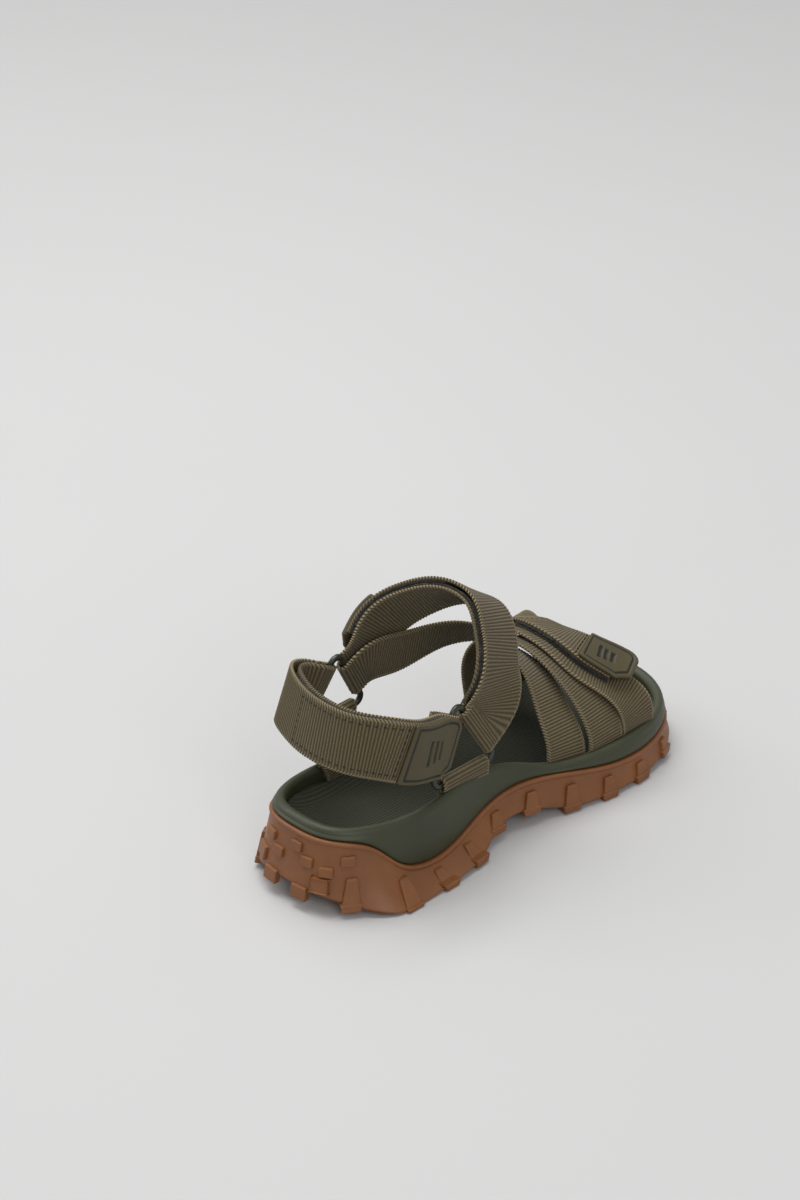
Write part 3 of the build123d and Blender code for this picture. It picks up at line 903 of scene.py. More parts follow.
@dataclass
class Sole:
    """Outsole, midsole and footbed, all swept round one outline."""

    columns: int = 960
    rim_width: float = 7.0
    lug_deep: float = 4.0
    lug_long: float = 10.5
    lug_pitch: float = 17.0
    lug_start: float = -136.0
    lug_reach: float = 17.0
    bar_out: float = 2.0
    bar_tall: float = 15.0
    bar_halves: tuple[float, float] = (5.6, 3.1)
    bar_depth: float = 4.5
    lug_halves: tuple[float, float] = (5.0, 6.2)
    lug_out: float = 1.7
    pair_step: tuple[float, float] = (4.2, 3.1)
    pair_half: tuple[float, float] = (4.1, 2.8)
    low_pair_step: tuple[float, float] = (5.6, 3.9)
    low_pair_half: tuple[float, float] = (5.2, 3.9)
    lean: tuple[float, float] = (0.11, 0.17)
    lean_level: float = 16.0
    side_bars: tuple = tuple(-95.5 + 25.5 * i for i in range(9))
    toe_bars: tuple = (-24.0, 0.0, 24.0)
    heel_bars: tuple = (-33.0, 33.5)
    heel_pairs: tuple = ((-13.0, 29.5, 1), (9.0, 31.5, 1), (28.0, 28.5, -1))
    heel_low_pairs: tuple = ((-17.0, 15.0, 1), (16.0, 14.0, -1))
    outline: tuple = (
        (0, -137), (26, -132), (38, -115), (42, -92), (42, -60), (38, -25),
        (41, 5), (49, 35), (54, 65), (52, 95), (40, 121), (16, 136),
        (-10, 138), (-34, 131), (-48, 112), (-51, 88), (-47, 60), (-38, 30),
        (-30, 0), (-29, -30), (-33, -60), (-38, -92), (-36, -116), (-25, -131),
    )
    rim_top: Profile = field(default_factory=lambda: Profile([
        (-150, 51), (-100, 46), (-60, 46.5), (-20, 45.5), (0, 40), (20, 33), (60, 30), (100, 30), (150, 34)]))
    rubber_top: Profile = field(default_factory=lambda: Profile([
        (-150, 43.5), (-132, 42.5), (-116, 37.5), (-92, 19), (-70, 13), (-40, 18), (-10, 27), (10, 28),
        (60, 20), (100, 18), (150, 24)]))
    footbed_top: Profile = field(default_factory=lambda: Profile([
        (-150, 40), (-118, 36), (-90, 33), (-60, 32), (-20, 29), (20, 25), (60, 21), (100, 20), (150, 24)]))
    tread_base: Profile = field(default_factory=lambda: Profile([
        (-150, 19), (-134, 12), (-118, 5), (-60, 4), (-30, 6.5), (0, 11.5), (30, 5), (60, 4), (95, 5),
        (120, 9), (150, 16)]))

    def __post_init__(self) -> None:
        """Samples the outline evenly from the heel round the outer side to the toe and back."""
        fine, _ = Curve(self.outline, closed=True).at(np.linspace(0, 1, 6001))
        fine = fine[:-1]
        heel, toe = fine[:, 1].argmin(), fine[:, 1].argmax()
        halves = []
        for first, last in ((heel, toe), (toe, heel)):
            span = (last - first) % len(fine)
            part = fine[(first + np.arange(span + 1)) % len(fine)]
            run = np.concatenate([[0.0], np.cumsum(np.linalg.norm(np.diff(part, axis=0), axis=1))])
            where = np.linspace(0, run[-1], self.columns // 2 + 1)[:-1]
            halves.append(np.stack([np.interp(where, run, part[:, axis]) for axis in (0, 1)], 1))
        self.loop = np.vstack(halves)
        way = unit(np.roll(self.loop, -1, 0) - np.roll(self.loop, 1, 0))
        self.outward = np.stack([way[:, 1], -way[:, 0]], 1)

    def flat(self, out: Array | float, pull: float) -> Array:
        """Places in plan of one row."""
        row = self.loop + self.outward * np.reshape(out, (-1, 1))
        mirror = row[-np.arange(self.columns)]
        return row * (1 - pull) + (row + mirror) / 2 * pull

    def sweep(self, name: str, ledges: Sequence[Ledge]) -> bpy.types.Mesh:
        """A closed piece through its rows.

        Args:
            name: The mesh's name.
            ledges: Its rows, from the middle of one face round to the middle of the other.

        Returns:
            The mesh.
        """
        rows = []
        for ledge in ledges:
            plan = self.flat(ledge.out, ledge.pull)
            rows.append(self.leaned(np.column_stack([plan, ledge.height(plan)])))
        body = np.array(rows)
        return Skin(self.columns, len(rows) - 1, lambda column, row: metres(body[row, column])).mesh(name)

    def fan(self, out: float, height: Callable[[Array], Array], steps: int, inward: bool) -> list[Ledge]:
        """Rows from the middle line out to `out`, or the other way."""
        shares = np.linspace(1, 0, steps)
        return [Ledge(out, pull, height) for pull in (shares if not inward else shares[::-1])]

    def leaned(self, place: Array) -> Array:
        """Places with the heel drawn in toward its top and out toward its foot."""
        share = (1 - ease(place[..., 1], -118, -72)) * (place[..., 2] - self.lean_level)
        shift = np.stack([-self.lean[0] * share * place[..., 0] / 38, self.lean[1] * share, 0 * share], -1)
        return place + shift

    def flare(self) -> Array:
        """How far the foot of the wall stands outside its top."""
        y = self.loop[:, 1]
        outer = np.clip(self.outward[:, 0], 0, 1)
        return 1.4 + outer * (11.0 * ease(y, -128, -100) * (1 - ease(y, -52, -8)) + 1.4 * ease(y, 0, 50))

    def wall_out(self, height: Array, column: Array | slice = slice(None)) -> Array:
        """How far outside the outline the rubber wall stands at a height."""
        top = self.rubber_top(self.loop[column, 1]) - 3.0
        foot = self.tread_base(self.loop[column, 1]) - 0.6
        fall = np.clip((top - height) / (top - foot), 0, 1)
        return 1.2 + self.flare()[column] * fall ** 1.6

    def column_at(self, value: float, axis: int, side: int) -> int:
        """The column nearest to a place: x along one end, or y along one side.

        Args:
            value: The x or y looked for.
            axis: 0 to look for an x at an end, 1 to look for a y on a side.
            side: 1 for the toe or the outer side, -1 for the heel or the inner side.

        Returns:
            The column's number.
        """
        facing = self.outward[:, 1 - axis] * side > 0.3
        return int(np.where(facing, np.abs(self.loop[:, axis] - value), 1e3).argmin())

    def upright(self, column: int) -> list[Block]:
        """A bar up the wall and the lug that it stands on."""
        base = float(self.tread_base(self.loop[column, 1]))
        ground = max(base - self.lug_deep, 0.0)
        top = float(self.rubber_top(self.loop[column, 1])) - 3.0
        high = base + min(0.74 * (top - base), self.bar_tall)
        foot_out = float(self.wall_out(ground, column)) + self.lug_out
        high_out = float(self.wall_out(high, column)) + self.bar_out
        bar = Block(column, ground + 0.4, high, self.bar_halves, (foot_out, high_out), self.bar_depth)
        lug = Block(column, ground, base + 1.0, self.lug_halves, (foot_out - 0.3, foot_out),
                    self.lug_reach + foot_out)
        return [bar, lug]

    def raised(self, x: float, z: float, half: float, tall: float) -> Block:
        """A low block on the back of the heel."""
        column = self.column_at(x, 0, -1)
        outs = tuple(float(self.wall_out(height, column)) + 1.6 for height in (z - tall, z + tall))
        return Block(column, z - tall, z + tall, (half, half), outs, 4.0)

    def blocks(self) -> bpy.types.Mesh:
        """Every raised block of the wall, with its edges rounded."""
        found = []
        for side in (-1, 1):
            found += [block for y in self.side_bars for block in self.upright(self.column_at(y, 1, side))]
        for bars, side in ((self.toe_bars, 1), (self.heel_bars, -1)):
            found += [block for x in bars for block in self.upright(self.column_at(x, 0, side))]
        sizes = ((self.heel_pairs, self.pair_step, self.pair_half),
                 (self.heel_low_pairs, self.low_pair_step, self.low_pair_half))
        for pairs, step, half in sizes:
            for x, z, way in pairs:
                found += [self.raised(x - way * end * step[0], z + end * step[1], *half) for end in (-1, 1)]
        shell = bmesh.new()
        for block in found:
            across = np.array((-self.outward[block.column, 1], self.outward[block.column, 0]))
            for corner in bmesh.ops.create_cube(shell, size=2.0)["verts"]:
                top = int(corner.co.z > 0)
                out = block.outs[top] - (0 if corner.co.y > 0 else block.depth)
                plan = self.loop[block.column] + self.outward[block.column] * out
                plan = plan + across * block.halves[top] * corner.co.x
                corner.co = metres(self.leaned(np.array((*plan, block.high if top else block.low))))
        bmesh.ops.bevel(shell, geom=shell.edges[:], offset=0.75 * MM, segments=3, profile=0.5,
                        affect="EDGES", material=-1)
        bmesh.ops.recalc_face_normals(shell, faces=shell.faces)
        mesh = bpy.data.meshes.new("outsole_blocks")
        shell.to_mesh(mesh)
        shell.free()
        return mesh

    def outsole(self, finishes: Finishes) -> None:
        """Makes the rubber cup, its raised blocks and the middle lugs."""
        top, base = self.rubber_top, self.tread_base
        wall_top = top(self.loop[:, 1]) - 3.0
        wall_foot = base(self.loop[:, 1]) - 0.6
        ledges = [Ledge(-2.4, pull, lambda plan: base(plan[:, 1]) + 3.6) for pull in (1.0, 0.5, 0.0)]
        lip = ((-2.4, 0.4), (-1.2, 0.1), (0.2, 0.0), (1.3, 0.15), (1.9, 0.6), (2.1, 1.3), (2.0, 2.1),
               (1.5, 2.7))
        for out, drop in lip:
            ledges.append(Ledge(out, 0.0, lambda plan, drop=drop: top(plan[:, 1]) - drop))
        for fall in np.linspace(0, 1, 20):
            height = wall_top + (wall_foot - wall_top) * fall
            ledges.append(Ledge(self.wall_out(height), 0.0, lambda plan, height=height: height))
        foot = self.wall_out(wall_foot)
        for out, drop in ((-0.3, 0.5), (-1.0, 0.9), (-2.2, 1.0)):
            ledges.append(Ledge(foot + out, 0.0, lambda plan, drop=drop: base(plan[:, 1]) - 0.6 - drop))
        ledges += self.fan(-6.0, lambda plan: base(plan[:, 1]) - 0.6, 8, True)
        rubber = (finishes.rubber, Slot.RUBBER)
        add("outsole_rubber", self.sweep("outsole_rubber", ledges), *rubber, stands_for=("outsole",))
        add("outsole_blocks", self.blocks(), *rubber)
        add("outsole_middle_lugs", self.middle_lugs(), *rubber)

    def middle_lugs(self) -> bpy.types.Mesh:
        """Bevelled blocks down the middle of the tread."""
        blocks = bmesh.new()
        for row in range(16):
            y = self.lug_start + self.lug_pitch * (row + 0.5)
            base = float(self.tread_base(y))
            near = np.abs(self.loop[:, 1] - y) < 3
            wide = min(27.0, np.ptp(self.loop[near, 0]) - 44)
            if wide < 8:
                continue
            ground = max(base - self.lug_deep, 0.0)
            middle = metres(np.array((self.loop[near, 0].mean(), y, (ground + base + 1.2) / 2)))
            size = Vector((wide, self.lug_long, base + 1.2 - ground)) * MM
            bmesh.ops.create_cube(blocks, size=1.0, matrix=Matrix.LocRotScale(Vector(middle), None, size))
        bmesh.ops.bevel(blocks, geom=blocks.edges[:], offset=0.8 * MM, segments=2, profile=0.5,
                        affect="EDGES", material=-1)
        mesh = bpy.data.meshes.new("outsole_middle_lugs")
        blocks.to_mesh(mesh)
        blocks.free()
        return mesh

    def midsole(self, finishes: Finishes) -> None:
        """Makes the foam midsole with its rounded rim round the footbed."""
        top, rim = self.rubber_top, self.rim_top
        ledges = self.fan(-2.9, lambda plan: self.tread_base(plan[:, 1]) + 4.2, 4, False)
        ledges.append(Ledge(-2.9, 0.0, lambda plan: top(plan[:, 1]) + 0.15))
        ledges.append(Ledge(-0.4, 0.0, lambda plan: top(plan[:, 1]) + 0.15))
        for rise in np.linspace(0, 1, 16):
            bulge = 0.9 * math.sin(math.pi * rise ** 0.8)
            ledges.append(Ledge(bulge, 0.0, lambda plan, rise=rise: (
                top(plan[:, 1]) * (1 - rise) + (rim(plan[:, 1]) - 3.4) * rise + 0.5 * (1 - rise))))
        for angle in np.radians(np.linspace(8, 172, 14)):
            out = -3.4 + 3.4 * math.cos(angle)
            lift = 3.4 * math.sin(angle) - 3.4
            ledges.append(Ledge(out, 0.0, lambda plan, lift=lift: rim(plan[:, 1]) + lift))
        for share in (0.25, 0.5, 0.75, 1.0):
            ledges.append(Ledge(-6.8 - 0.3 * share, 0.0, lambda plan, share=share: (
                (rim(plan[:, 1]) - 3.4) * (1 - share) + (self.footbed_top(plan[:, 1]) - 3.0) * share)))
        ledges += self.fan(-7.1, lambda plan: self.footbed_top(plan[:, 1]) - 3.0, 6, True)
        add("midsole_foam", self.sweep("midsole_foam", ledges), finishes.foam, Slot.MIDSOLE,
            stands_for=("midsole",))

    def footbed(self, finishes: Finishes) -> None:
        """Makes the ribbed footbed, raised to a cup along its edge."""
        inner = self.flat(-self.rim_width, 0.0)[::4]

        def dished(plan: Array) -> Array:
            """Top of the footbed."""
            away = distance(plan, inner)
            heel = 1 - ease(plan[:, 1], -90, 40)
            rise = (1.6 + 3.6 * heel) * (1 - ease(away, 0.0, 13.0)) ** 1.5
            return self.footbed_top(plan[:, 1]) + rise - 0.4

        ledges = self.fan(-7.3, lambda plan: self.footbed_top(plan[:, 1]) - 2.9, 3, False)
        ledges.append(Ledge(-7.3, 0.0, lambda plan: dished(plan) - 0.7))
        ledges.append(Ledge(-7.6, 0.0, lambda plan: dished(plan) - 0.2))
        ledges.append(Ledge(-8.3, 0.0, dished))
        ledges += [Ledge(-8.3, pull, dished) for pull in np.linspace(0, 1, 34)[1:]]
        add("footbed_ribbed", self.sweep("footbed_ribbed", ledges), finishes.footbed, Slot.FOOTBED,
            stands_for=("footbed",))


# ---- straps ------------------------------------------------------------------------------


@dataclass
class Tab:
    """A moulded pull tab with a sunk outline, one cut corner and three plain sunk bars.

    Attributes:
        name: The piece's name.
        band: The band it lies on.
        start: Share of the run where it begins.
        end: Share where its free end is.
        slide: How far aside it lies.
    """

    name: str
    band: Band
    start: float
    end: float
    slide: float = 0.0
    thick: float = 2.4
    edge_round: float = 0.9
    groove_in: float = 2.6
    groove_half: float = 0.55
    bar_sunk: float = 0.5

    def outline(self, count: int) -> Array:
        """The tab's outline: along from its start, and across."""
        long, half = abs(self.end - self.start) * self.band.length, self.band.width / 2 - 0.3
        cut = 7.5
        corners = [(0, -half, 1.2), (long - cut, -half, 2.5), (long, -half + cut, 2.5), (long, half, 5.5),
                   (0, half, 1.2)]
        return rounded(corners, count)

    def top(self, points: Array, depth: Array) -> tuple[Array, Array]:
        """Heights of the tab's upper face and the mask of its groove."""
        low = np.clip(self.edge_round - depth, 0, self.edge_round)
        height = self.thick - self.edge_round + np.sqrt(self.edge_round ** 2 - low ** 2)
        groove = 1 - ease(np.abs(depth - self.groove_in), self.groove_half * 0.6, self.groove_half * 1.5)
        long = points[:, 0].max()
        for place, wide in ((0.36, 0.2), (0.49, 0.17), (0.62, 0.14)):
            along = np.abs(points[:, 0] - long * place) - 0.9
            across = np.abs(points[:, 1]) - self.band.width * wide
            bar = 1 - ease(np.maximum(along, across), 0.0, 0.45)
            height = height - self.bar_sunk * bar
            groove = np.maximum(groove, bar)
        return height - 0.6 * groove, groove

    def build(self, finishes: Finishes, body: Body, node: str) -> None:
        """Makes the tab."""
        count, rows = 220, 64
        loop = self.outline(count)
        centre = loop.mean(0)
        shares = 1 - np.linspace(0, 1, rows) ** 1.5
        points = centre + (loop - centre)[None] * shares[:, None, None]
        flat = points.reshape(-1, 2)
        height, groove = self.top(flat, distance(flat, rounded_copy(loop, 4)))
        height, groove = height.reshape(rows, count), groove.reshape(rows, count)
        plan = np.concatenate([np.broadcast_to(centre, (1, count, 2)), loop[None] * 1.0, points])
        level = np.concatenate([np.zeros((2, count)), height])
        mask = np.concatenate([np.zeros((2, count)), groove])
        way = 1 if self.end > self.start else -1
        share = self.start + way * plan[..., 0] / self.band.length
        side = plan[..., 1] + self.slide
        body_points = self.band.point(share.ravel(), side.ravel(), (TAB_LOW + 0.05 + level).ravel())
        body_points = body_points.reshape(*level.shape, 3)
        skin = Skin(count, rows + 1, lambda column, row: metres(body_points[row, column]),
                    marks={"groove": lambda column, row: mask[row, column]})
        add(self.name, skin.mesh(self.name), finishes.tab, Slot.TAB, body, (node,))


def rounded_copy(loop: Array, times: int) -> Array:
    """A loop with `times` as many points, evenly between its own."""
    shares = np.linspace(0, 1, times, endpoint=False)[:, None, None]
    return (loop * (1 - shares) + np.roll(loop, -1, 0) * shares).reshape(-1, 2)


@dataclass
class Seam:
    """Lines of stitches on the outer face of a webbing.

    Attributes:
        name: The piece's name.
        band: The band the stitches lie on.
        lines: Each line's two ends, as (share, side).
        level: Height of the webbing's outer face.
    """

    name: str
    band: Band
    lines: Sequence[tuple[tuple[float, float], tuple[float, float]]]
    level: float
    pitch: float = 3.3
    stitch: float = 2.5
    radius: float = 0.45

    def build(self, finishes: Finishes, body: Body) -> None:
        """Makes the stitches: one short bead of thread each."""
        thread = bmesh.new()
        for (t0, side0), (t1, side1) in self.lines:
            ends = self.band.point(np.array((t0, t1)), np.array((side0, side1)), np.array((self.level,) * 2))
            count = max(2, round(abs(t1 - t0) * self.band.length / self.pitch) or
                        round(np.linalg.norm(ends[1] - ends[0]) / self.pitch))
            shares = np.linspace(0, 1, count)
            t = t0 + (t1 - t0) * shares
            places = self.band.point(t, side0 + (side1 - side0) * shares, np.full(count, self.level + 0.05))
            ways = unit(np.gradient(places, axis=0))
            outs = self.band.frames(t).out
            for place, way, out in zip(places, ways, outs):
                across = np.cross(out, way)
                turn = Matrix(np.stack([way, across, out], 1).tolist()).to_4x4()
                size = Matrix.Diagonal((self.stitch / 2 * MM, self.radius * MM, self.radius * 0.8 * MM, 1))
                bmesh.ops.create_uvsphere(thread, u_segments=8, v_segments=5, radius=1.0,
                                          matrix=Matrix.Translation(Vector(metres(place))) @ turn @ size)
        for face in thread.faces:
            face.smooth = True
        bmesh.ops.recalc_face_normals(thread, faces=thread.faces)
        mesh = bpy.data.meshes.new(self.name)
        thread.to_mesh(mesh)
        thread.free()
        add(self.name, mesh, finishes.thread, Slot.WEBBING, body)


@dataclass
class Strap:
    """A webbing that closes with hook and loop: what its parts share.

    Attributes:
        name: Start of its pieces' names.
        band: Its run.
        body: The body of its flap.
        crease: Share of the run where the flap begins.
        end: Share where the flap ends.
        tab_long: Length of the pull tab.
        slide: How far aside the flap lies.
        pad_slide: How far aside its pads lie.
        pad_width: Width of its pads.
        tab_free: How far the pull tab reaches past its webbing and pads.
    """

    name: str
    band: Band
    body: Body
    crease: float
    end: float
    tab_long: float
    slide: float = 0.0
    pad_slide: float = 0.0
    pad_width: float | None = None
    tab_free: float = 10.0

    @property
    def way(self) -> int:
        """1 if the flap runs with its band, -1 if against it."""
        return 1 if self.end > self.crease else -1

    @property
    def webbing_end(self) -> float:
        """Share where the webbing and its pads end, under the tab."""
        return self.along(-self.tab_free, self.end)

    def along(self, millimetres: float, base: float | None = None) -> float:
        """Share of the run that far along the flap from its crease, or from `base`."""
        return (self.crease if base is None else base) + self.way * self.band.gap(millimetres)

    def outer(self, route: Route, finishes: Finishes, nodes: Sequence[str]) -> None:
        """Makes the outer webbing that runs on into the flap, and bakes its place into its mesh."""
        mesh = Tape(self.name + "_webbing_flap", route, self.band.width).mesh()
        piece = add(self.name + "_webbing_flap", mesh, finishes.webbing, Slot.WEBBING, None, nodes)
        crease = self.band.frames(self.crease)
        way = crease.along[0] * self.way
        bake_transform(piece)

    def pads(self, finishes: Finishes, start: float, clear: float) -> None:
        """Makes the loop pad and the hook pad."""
        width = self.pad_width or self.band.width - 1.6
        stop = self.webbing_end
        begin = {"loop": start, "hook": self.along(clear)}
        slides = (self.pad_slide, self.pad_slide)
        kinds = (("loop", Body.SANDAL, Slot.LOOP), ("hook", self.body, Slot.HOOK))
        for seed, (kind, body, slot) in enumerate(kinds):
            route = Route(self.band).run(begin[kind], stop, PAD_LOW[kind] - (WEB - PAD) / 2, slides=slides)
            name = f"{self.name}_{kind}_pile"
            mesh = Tape(name, route, width, PAD - 0.12, 0.55, seed).mesh()
            add(name, mesh, getattr(finishes, kind), slot, body, (f"{self.name}_{kind}_pad",))

    def tab(self, finishes: Finishes) -> None:
        """Makes the pull tab."""
        start = self.along(-self.tab_long, self.end)
        Tab(self.name + "_pull_tab", self.band, start, self.end, self.slide).build(
            finishes, self.body, self.name + "_tab")

    def seam(self, finishes: Finishes, inset: float, first: float, boxed: bool = False) -> None:
        """Makes the stitching: a line across the flap at each end, and a box where it is `boxed`."""
        half = self.band.width / 2 - inset
        start, stop = self.along(first), self.along(-self.tab_long - 2.2, self.end)
        lines = [((t, self.slide - half), (t, self.slide + half)) for t in (start, stop)]
        if boxed:
            edges = (self.slide - half, self.slide + half)
            lines += [((start, edge), (stop, edge)) for edge in edges]
        Seam(self.name + "_stitches", self.band, lines, RETURN + WEB).build(finishes, self.body)


@dataclass
class Straps:
    """The rings and every webbing."""

    wide: float = 35.0
    slim: float = 27.0
    toe_wide: float = 25.0
    toe_slide: float = 10.0
    root_slide: float = 4.0
    toe_rise: float = 0.24
    toe_base_end: float = 0.25
    lap: float = 14.0
    instep_pad: float = 0.84
    outer_ring: Ring = field(default_factory=lambda: Ring((33.2, -39, 64.5), 0.12, 1))
    inner_ring: Ring = field(default_factory=lambda: Ring((-34.5, -70, 84), 0.14, -1))

    def heel_band(self) -> Band:
        """From the inner ring round the back of the heel to the outer ring."""
        stations = self.inner_ring.stations("rear", INSIDE, 7, -1) + [
            ((-33.5, -98, 98), (0.1, 0.3, 0.94)),
            ((-21, -107.5, 98.5), (0.1, 0.22, 0.94)),
            ((0, -112, 97), (0.09, 0.2, 0.94)),
            ((20, -108, 95), (0.07, 0.2, 0.94)),
            ((32, -97, 91.5), (0.03, 0.25, 0.95)),
            ((36.5, -80, 84), (0.0, 0.35, 0.93)),
        ] + self.outer_ring.stations("rear", OUTSIDE, 8, -1)[::-1]
        return Band(stations, self.wide, (self.inner_ring.way("rear"), -self.outer_ring.way("rear")))

    def instep_band(self) -> Band:
        """From the inner ring over the instep to the outer ring."""
        stations = self.inner_ring.stations("front", OUTSIDE, 8, -1) + [
            ((-32, -32, 114), (0, 0.68, -0.72)),
            ((-20, -17, 126), (0, 0.74, -0.66)),
            ((-4, -7, 132), (0, 0.78, -0.6)),
            ((12, -3, 129.5), (0, 0.8, -0.58)),
            ((24, -6, 116), (0, 0.77, -0.63)),
            ((31, -13, 98), (0, 0.68, -0.73)),
        ] + self.outer_ring.stations("front", INSIDE, 7, -1)[::-1]
        return Band(stations, self.wide, (self.inner_ring.way("front"), -self.outer_ring.way("front")))

    def cross_band(self) -> Band:
        """From the inner ring across the foot to the outer edge of the sole."""
        stations = self.inner_ring.stations("front", INSIDE, 7, -1) + [
            ((-29.5, -22, 93), (-0.1, 0.55, -0.8)),
            ((-24.5, 8, 93), (-0.25, 0.55, -0.78)),
            ((-13, 26, 90), (-0.4, 0.6, -0.75)),
            ((3, 34.5, 82.5), (-0.3, 0.78, -0.52)),
            ((19.5, 38, 68.5), (-0.1, 0.92, -0.38)),
            ((31.5, 37, 53), (0, 0.98, -0.2)),
            ((41, 36, 37), (0.12, 1, -0.05)),
            ((42, 35, 22), (0.2, 1, 0)),
        ]
        return Band(stations, self.slim, (self.inner_ring.way("front"), -UP))

    def vamp_band(self) -> Band:
        """Over the ball of the foot, edge to edge of the sole."""
        stations = [
            ((-38, 49, 20), (-0.29, 0.96, 0)),
            ((-39, 49, 38), (-0.25, 0.97, -0.05)),
            ((-35, 47, 61), (-0.1, 0.96, -0.2)),
            ((-21, 48, 76), (0, 0.92, -0.38)),
            ((-5, 52, 78.5), (0, 0.92, -0.38)),
            ((12, 56, 72.8), (0, 0.93, -0.36)),
            ((26, 60, 62.8), (0, 0.96, -0.24)),
            ((40.5, 62.5, 48), (0, 1, -0.08)),
            ((46.5, 63, 34), (0, 1, 0)),
            ((46, 63, 20), (0.08, 1, 0)),
        ]
        return Band(stations, self.slim, (UP, -UP))

    def toe_band(self) -> Band:
        """In front of the vamp band, edge to edge of the sole."""
        stations = [
            ((-44.5, 75, 20), (-0.1, 1, 0)),
            ((-45, 74, 38), (-0.1, 1, -0.05)),
            ((-41, 69, 57), (-0.05, 0.97, -0.2)),
            ((-31, 62, 72), (0, 0.93, -0.36)),
            ((-18, 61, 78), (0, 0.93, -0.38)),
            ((-5, 61, 78.5), (0, 0.93, -0.38)),
            ((7, 63, 75.5), (0.05, 0.93, -0.36)),
            ((22, 69, 66.5), (0.12, 0.95, -0.28)),
            ((34.5, 79, 57), (0.1, 0.97, -0.18)),
            ((45.5, 87, 44.5), (0.05, 1, -0.06)),
            ((47, 89.8, 31), (0, 1, 0)),
            ((45.5, 90, 20), (-0.06, 1, 0)),
        ]
        return Band(stations, self.toe_wide, (UP, -UP))

    def quarters(self, finishes: Finishes) -> None:
        """Makes the two webbings that hold the rings to the sole, each doubled over a bar."""
        outer = Band([((30.6, -41.6, 25.3), (0.05, -1, 0)), ((31, -40.7, 36.2), (0.03, -1, 0))]
                     + self.outer_ring.stations("low", INSIDE, 4, -1)[::-1], self.wide,
                     (UP, -self.outer_ring.way("low")))
        inner = Band([((-25.2, -64, 27), (0.15, 1, 0)), ((-26, -65.5, 43), (0.13, 1, 0))]
                     + self.inner_ring.stations("low", INSIDE, 6, 1)[::-1], self.wide,
                     (UP, -self.inner_ring.way("low")))
        for name, band, node in (("outer_quarter_webbing", outer, "lateral_quarter_loop"),
                                 ("inner_quarter_webbing", inner, "medial_quarter_loop")):
            level = 1 - band.gap(3.2)
            spread = level - band.gap(5.0)
            route = Route(band).run(0, spread, WEB + 0.4).run(spread, level, WEB + 0.4, RETURN)
            route.run(level, 1, RETURN).turn(1, RETURN).run(1, 0, 0)
            tape = Tape(name, route, self.wide, fold=1.3, fold_run=(2.0, band.length * level))
            add(name, tape.mesh(), finishes.webbing, Slot.WEBBING, stands_for=(node,))

    def heel(self, finishes: Finishes) -> None:
        """Makes the heel strap."""
        band = self.heel_band()
        strap = Strap("heel", band, Body.HEEL, 0.22, 0.985, 40.0)
        under = -2 * OUTSIDE - WEB
        base = Route(band).run(1 - band.gap(self.lap), 1, under).turn(1, under, -OUTSIDE).run(1, 0, 0)
        add("heel_webbing", Tape("heel_webbing", base, self.wide).mesh(), finishes.webbing, Slot.WEBBING,
            stands_for=("heel_strap_base",))
        outer = Route(band).turn(0, 0).run(0, strap.webbing_end, RETURN)
        strap.outer(outer, finishes, ("heel_strap_return", "heel_flap"))
        strap.pads(finishes, strap.along(1.0), BEND + 2)
        strap.tab(finishes)
        strap.seam(finishes, 4.2, 13.0, boxed=True)

    def instep(self, finishes: Finishes) -> None:
        """Makes the instep strap."""
        band = self.instep_band()
        strap = Strap("instep", band, Body.INSTEP, 0.52, 0.07, 30.0)
        base = Route(band).run(0, 1, 0)
        add("instep_webbing", Tape("instep_webbing", base, self.wide).mesh(), finishes.webbing, Slot.WEBBING,
            stands_for=("instep_strap_base",))
        outer = Route(band).turn(1, 0).run(1, strap.webbing_end, RETURN)
        strap.outer(outer, finishes, ("instep_flap",))
        strap.pads(finishes, self.instep_pad, BEND + 2)
        strap.tab(finishes)
        strap.seam(finishes, 2.6, 9.0)
        strip = Route(band).run(strap.along(-BEND - 2), self.instep_pad, PAD_LOW["hook"] - (WEB - PAD) / 2)
        mesh = Tape("instep_hook_strip_pile", strip, band.width - 1.6, PAD - 0.12, 0.55, 7).mesh()
        add("instep_hook_strip_pile", mesh, finishes.hook, Slot.HOOK, stands_for=("instep_hook_strip",))

    def forefoot(self, finishes: Finishes) -> None:
        """Makes the cross and vamp webbings and the toe strap."""
        cross, vamp, toe = self.cross_band(), self.vamp_band(), self.toe_band()
        route = Route(cross).turn(0, RETURN).run(0, 1, 0)
        add("cross_webbing", Tape("cross_webbing", route, self.slim).mesh(), finishes.webbing, Slot.WEBBING,
            stands_for=("instep_cross_band",))
        add("vamp_webbing", Tape("vamp_webbing", Route(vamp).run(0, 1, 0), self.slim).mesh(),
            finishes.webbing, Slot.WEBBING, stands_for=("vamp_band",))
        add("toe_webbing", Tape("toe_webbing", Route(toe).run(self.toe_base_end, 1, 0), self.toe_wide).mesh(),
            finishes.webbing, Slot.WEBBING, stands_for=("toe_strap_base",))
        strap = Strap("toe", toe, Body.TOE, 0.36, 0.8, 32.0, self.toe_slide, self.toe_slide / 2,
                      self.toe_wide - self.toe_slide + 1.5)
        outer = Route(toe).run(0, self.toe_rise, 0, RETURN, (self.root_slide, self.toe_slide))
        outer.run(self.toe_rise, strap.webbing_end, RETURN, slides=(self.toe_slide, self.toe_slide))
        strap.outer(outer, finishes, ("toe_strap_root", "toe_flap"))
        strap.pads(finishes, strap.along(2.0), BEND + 2)
        strap.tab(finishes)
        strap.seam(finishes, 2.2, 9.0)

    def build(self, finishes: Finishes) -> None:
        """Makes the rings and all the straps."""
        self.outer_ring.build("outer_ring", finishes.ring, "lateral_ring")
        self.inner_ring.build("inner_ring", finishes.ring, "medial_ring")
        self.quarters(finishes)
        self.heel(finishes)
        self.instep(finishes)
        self.forefoot(finishes)


# ---- studio ------------------------------------------------------------------------------


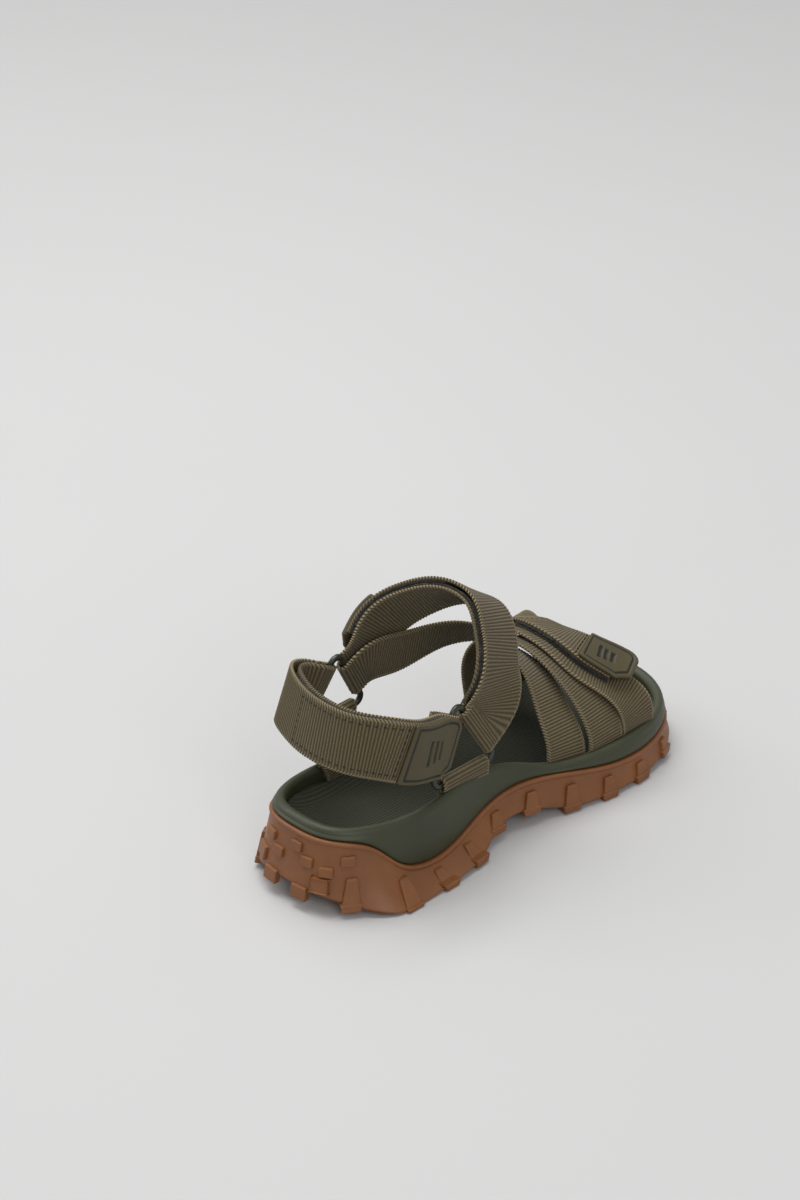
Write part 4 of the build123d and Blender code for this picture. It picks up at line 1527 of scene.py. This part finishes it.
@dataclass
class Studio:
    """Pale floor, soft lights and the camera.

    Attributes:
        azimuth: The camera's compass direction, in degrees.
        elevation: Its height over the horizon, in degrees.
        distance: Metres from the target.
        target: Point of the sandal that the camera was set up on, in pattern millimetres.
        pan: Degrees that the camera then turned to its left.
        tilt: Degrees that it turned down.
        lens: Focal length in millimetres, for a long side of 36 mm.
    """

    azimuth: float = 44.0
    elevation: float = 32.0
    distance: float = 2.0
    target: Triple = (0.0, 0.0, 20.0)
    pan: float = 1.078
    tilt: float = -2.717
    lens: float = 106.8

    def floor(self) -> None:
        """Makes a large, flat, pale floor."""
        cove = bmesh.new()
        bmesh.ops.create_grid(cove, x_segments=2, y_segments=2, size=6.0)
        mesh = bpy.data.meshes.new("studio_floor")
        cove.to_mesh(mesh)
        cove.free()
        mix = Recipe("studio_paper")
        cloud = mix.noise(mix.object_point(), 1.5, 2.0)
        colour = mix.blend(cloud, (0.49, 0.487, 0.486), (0.52, 0.517, 0.516))
        mesh.materials.append(mix.finish(colour, 0.9, cloud, 0.0001))
        floor = bpy.data.objects.new("studio_floor", mesh)
        bpy.context.scene.collection.objects.link(floor)

    def light(self, name: str, place: Triple, size: float, watts: float) -> None:
        """Adds one soft square light that faces the sandal."""
        lamp = bpy.data.lights.new(name, "AREA")
        lamp.size = size
        lamp.energy = watts
        shine = bpy.data.objects.new(name, lamp)
        shine.location = place
        shine.rotation_euler = (-Vector(place)).to_track_quat("-Z", "Y").to_euler()
        bpy.context.scene.collection.objects.link(shine)

    def lights(self) -> None:
        """Adds the lights and the pale surroundings."""
        self.light("soft_top", (-0.55, 0.1, 2.1), 1.5, 38.0)
        self.light("soft_left", (-1.9, -1.0, 1.5), 1.4, 14.0)
        self.light("soft_right", (1.9, -0.9, 1.4), 1.2, 15.0)
        world = bpy.data.worlds.new("studio_air")
        bpy.context.scene.world = world
        world.use_nodes = True
        sky = world.node_tree.nodes["Background"]
        sky.inputs["Color"].default_value = (1.0, 1.0, 1.0, 1.0)
        sky.inputs["Strength"].default_value = 0.5

    def camera(self) -> None:
        """Sets the camera up on its target, then turns it."""
        turn, rise = math.radians(self.azimuth), math.radians(self.elevation)
        back = Vector((math.sin(turn) * math.cos(rise), -math.cos(turn) * math.cos(rise), math.sin(rise)))
        right = Vector((math.cos(turn), math.sin(turn), 0.0))
        up = back.cross(right)
        pan, tilt = math.radians(self.pan), math.radians(self.tilt)
        ahead = -back * math.cos(tilt) - up * math.sin(tilt)
        top = up * math.cos(tilt) - back * math.sin(tilt)
        aim = ahead * math.cos(pan) - right * math.sin(pan)
        side = right * math.cos(pan) + ahead * math.sin(pan)
        lens = bpy.data.cameras.new("studio_camera")
        lens.lens = self.lens
        lens.sensor_width = 36.0
        lens.clip_start = 0.05
        camera = bpy.data.objects.new("studio_camera", lens)
        axes = Matrix((side, top, -aim)).transposed().to_4x4()
        place = Vector(metres(np.array(self.target))) + back * self.distance
        camera.matrix_world = Matrix.Translation(place) @ axes
        bpy.context.scene.collection.objects.link(camera)
        bpy.context.scene.camera = camera

    def build(self) -> None:
        """Makes the whole studio."""
        self.floor()
        self.lights()
        self.camera()
        bpy.context.scene.view_settings.view_transform = "Standard"


def main() -> None:
    """Builds the sandal and its studio."""
    logging.basicConfig(level=logging.INFO, format="%(message)s")
    finishes = Finishes()
    sole = Sole()
    sole.outsole(finishes)
    sole.midsole(finishes)
    sole.footbed(finishes)
    Straps().build(finishes)
    Studio().build()


if __name__ == "__main__":
    main()
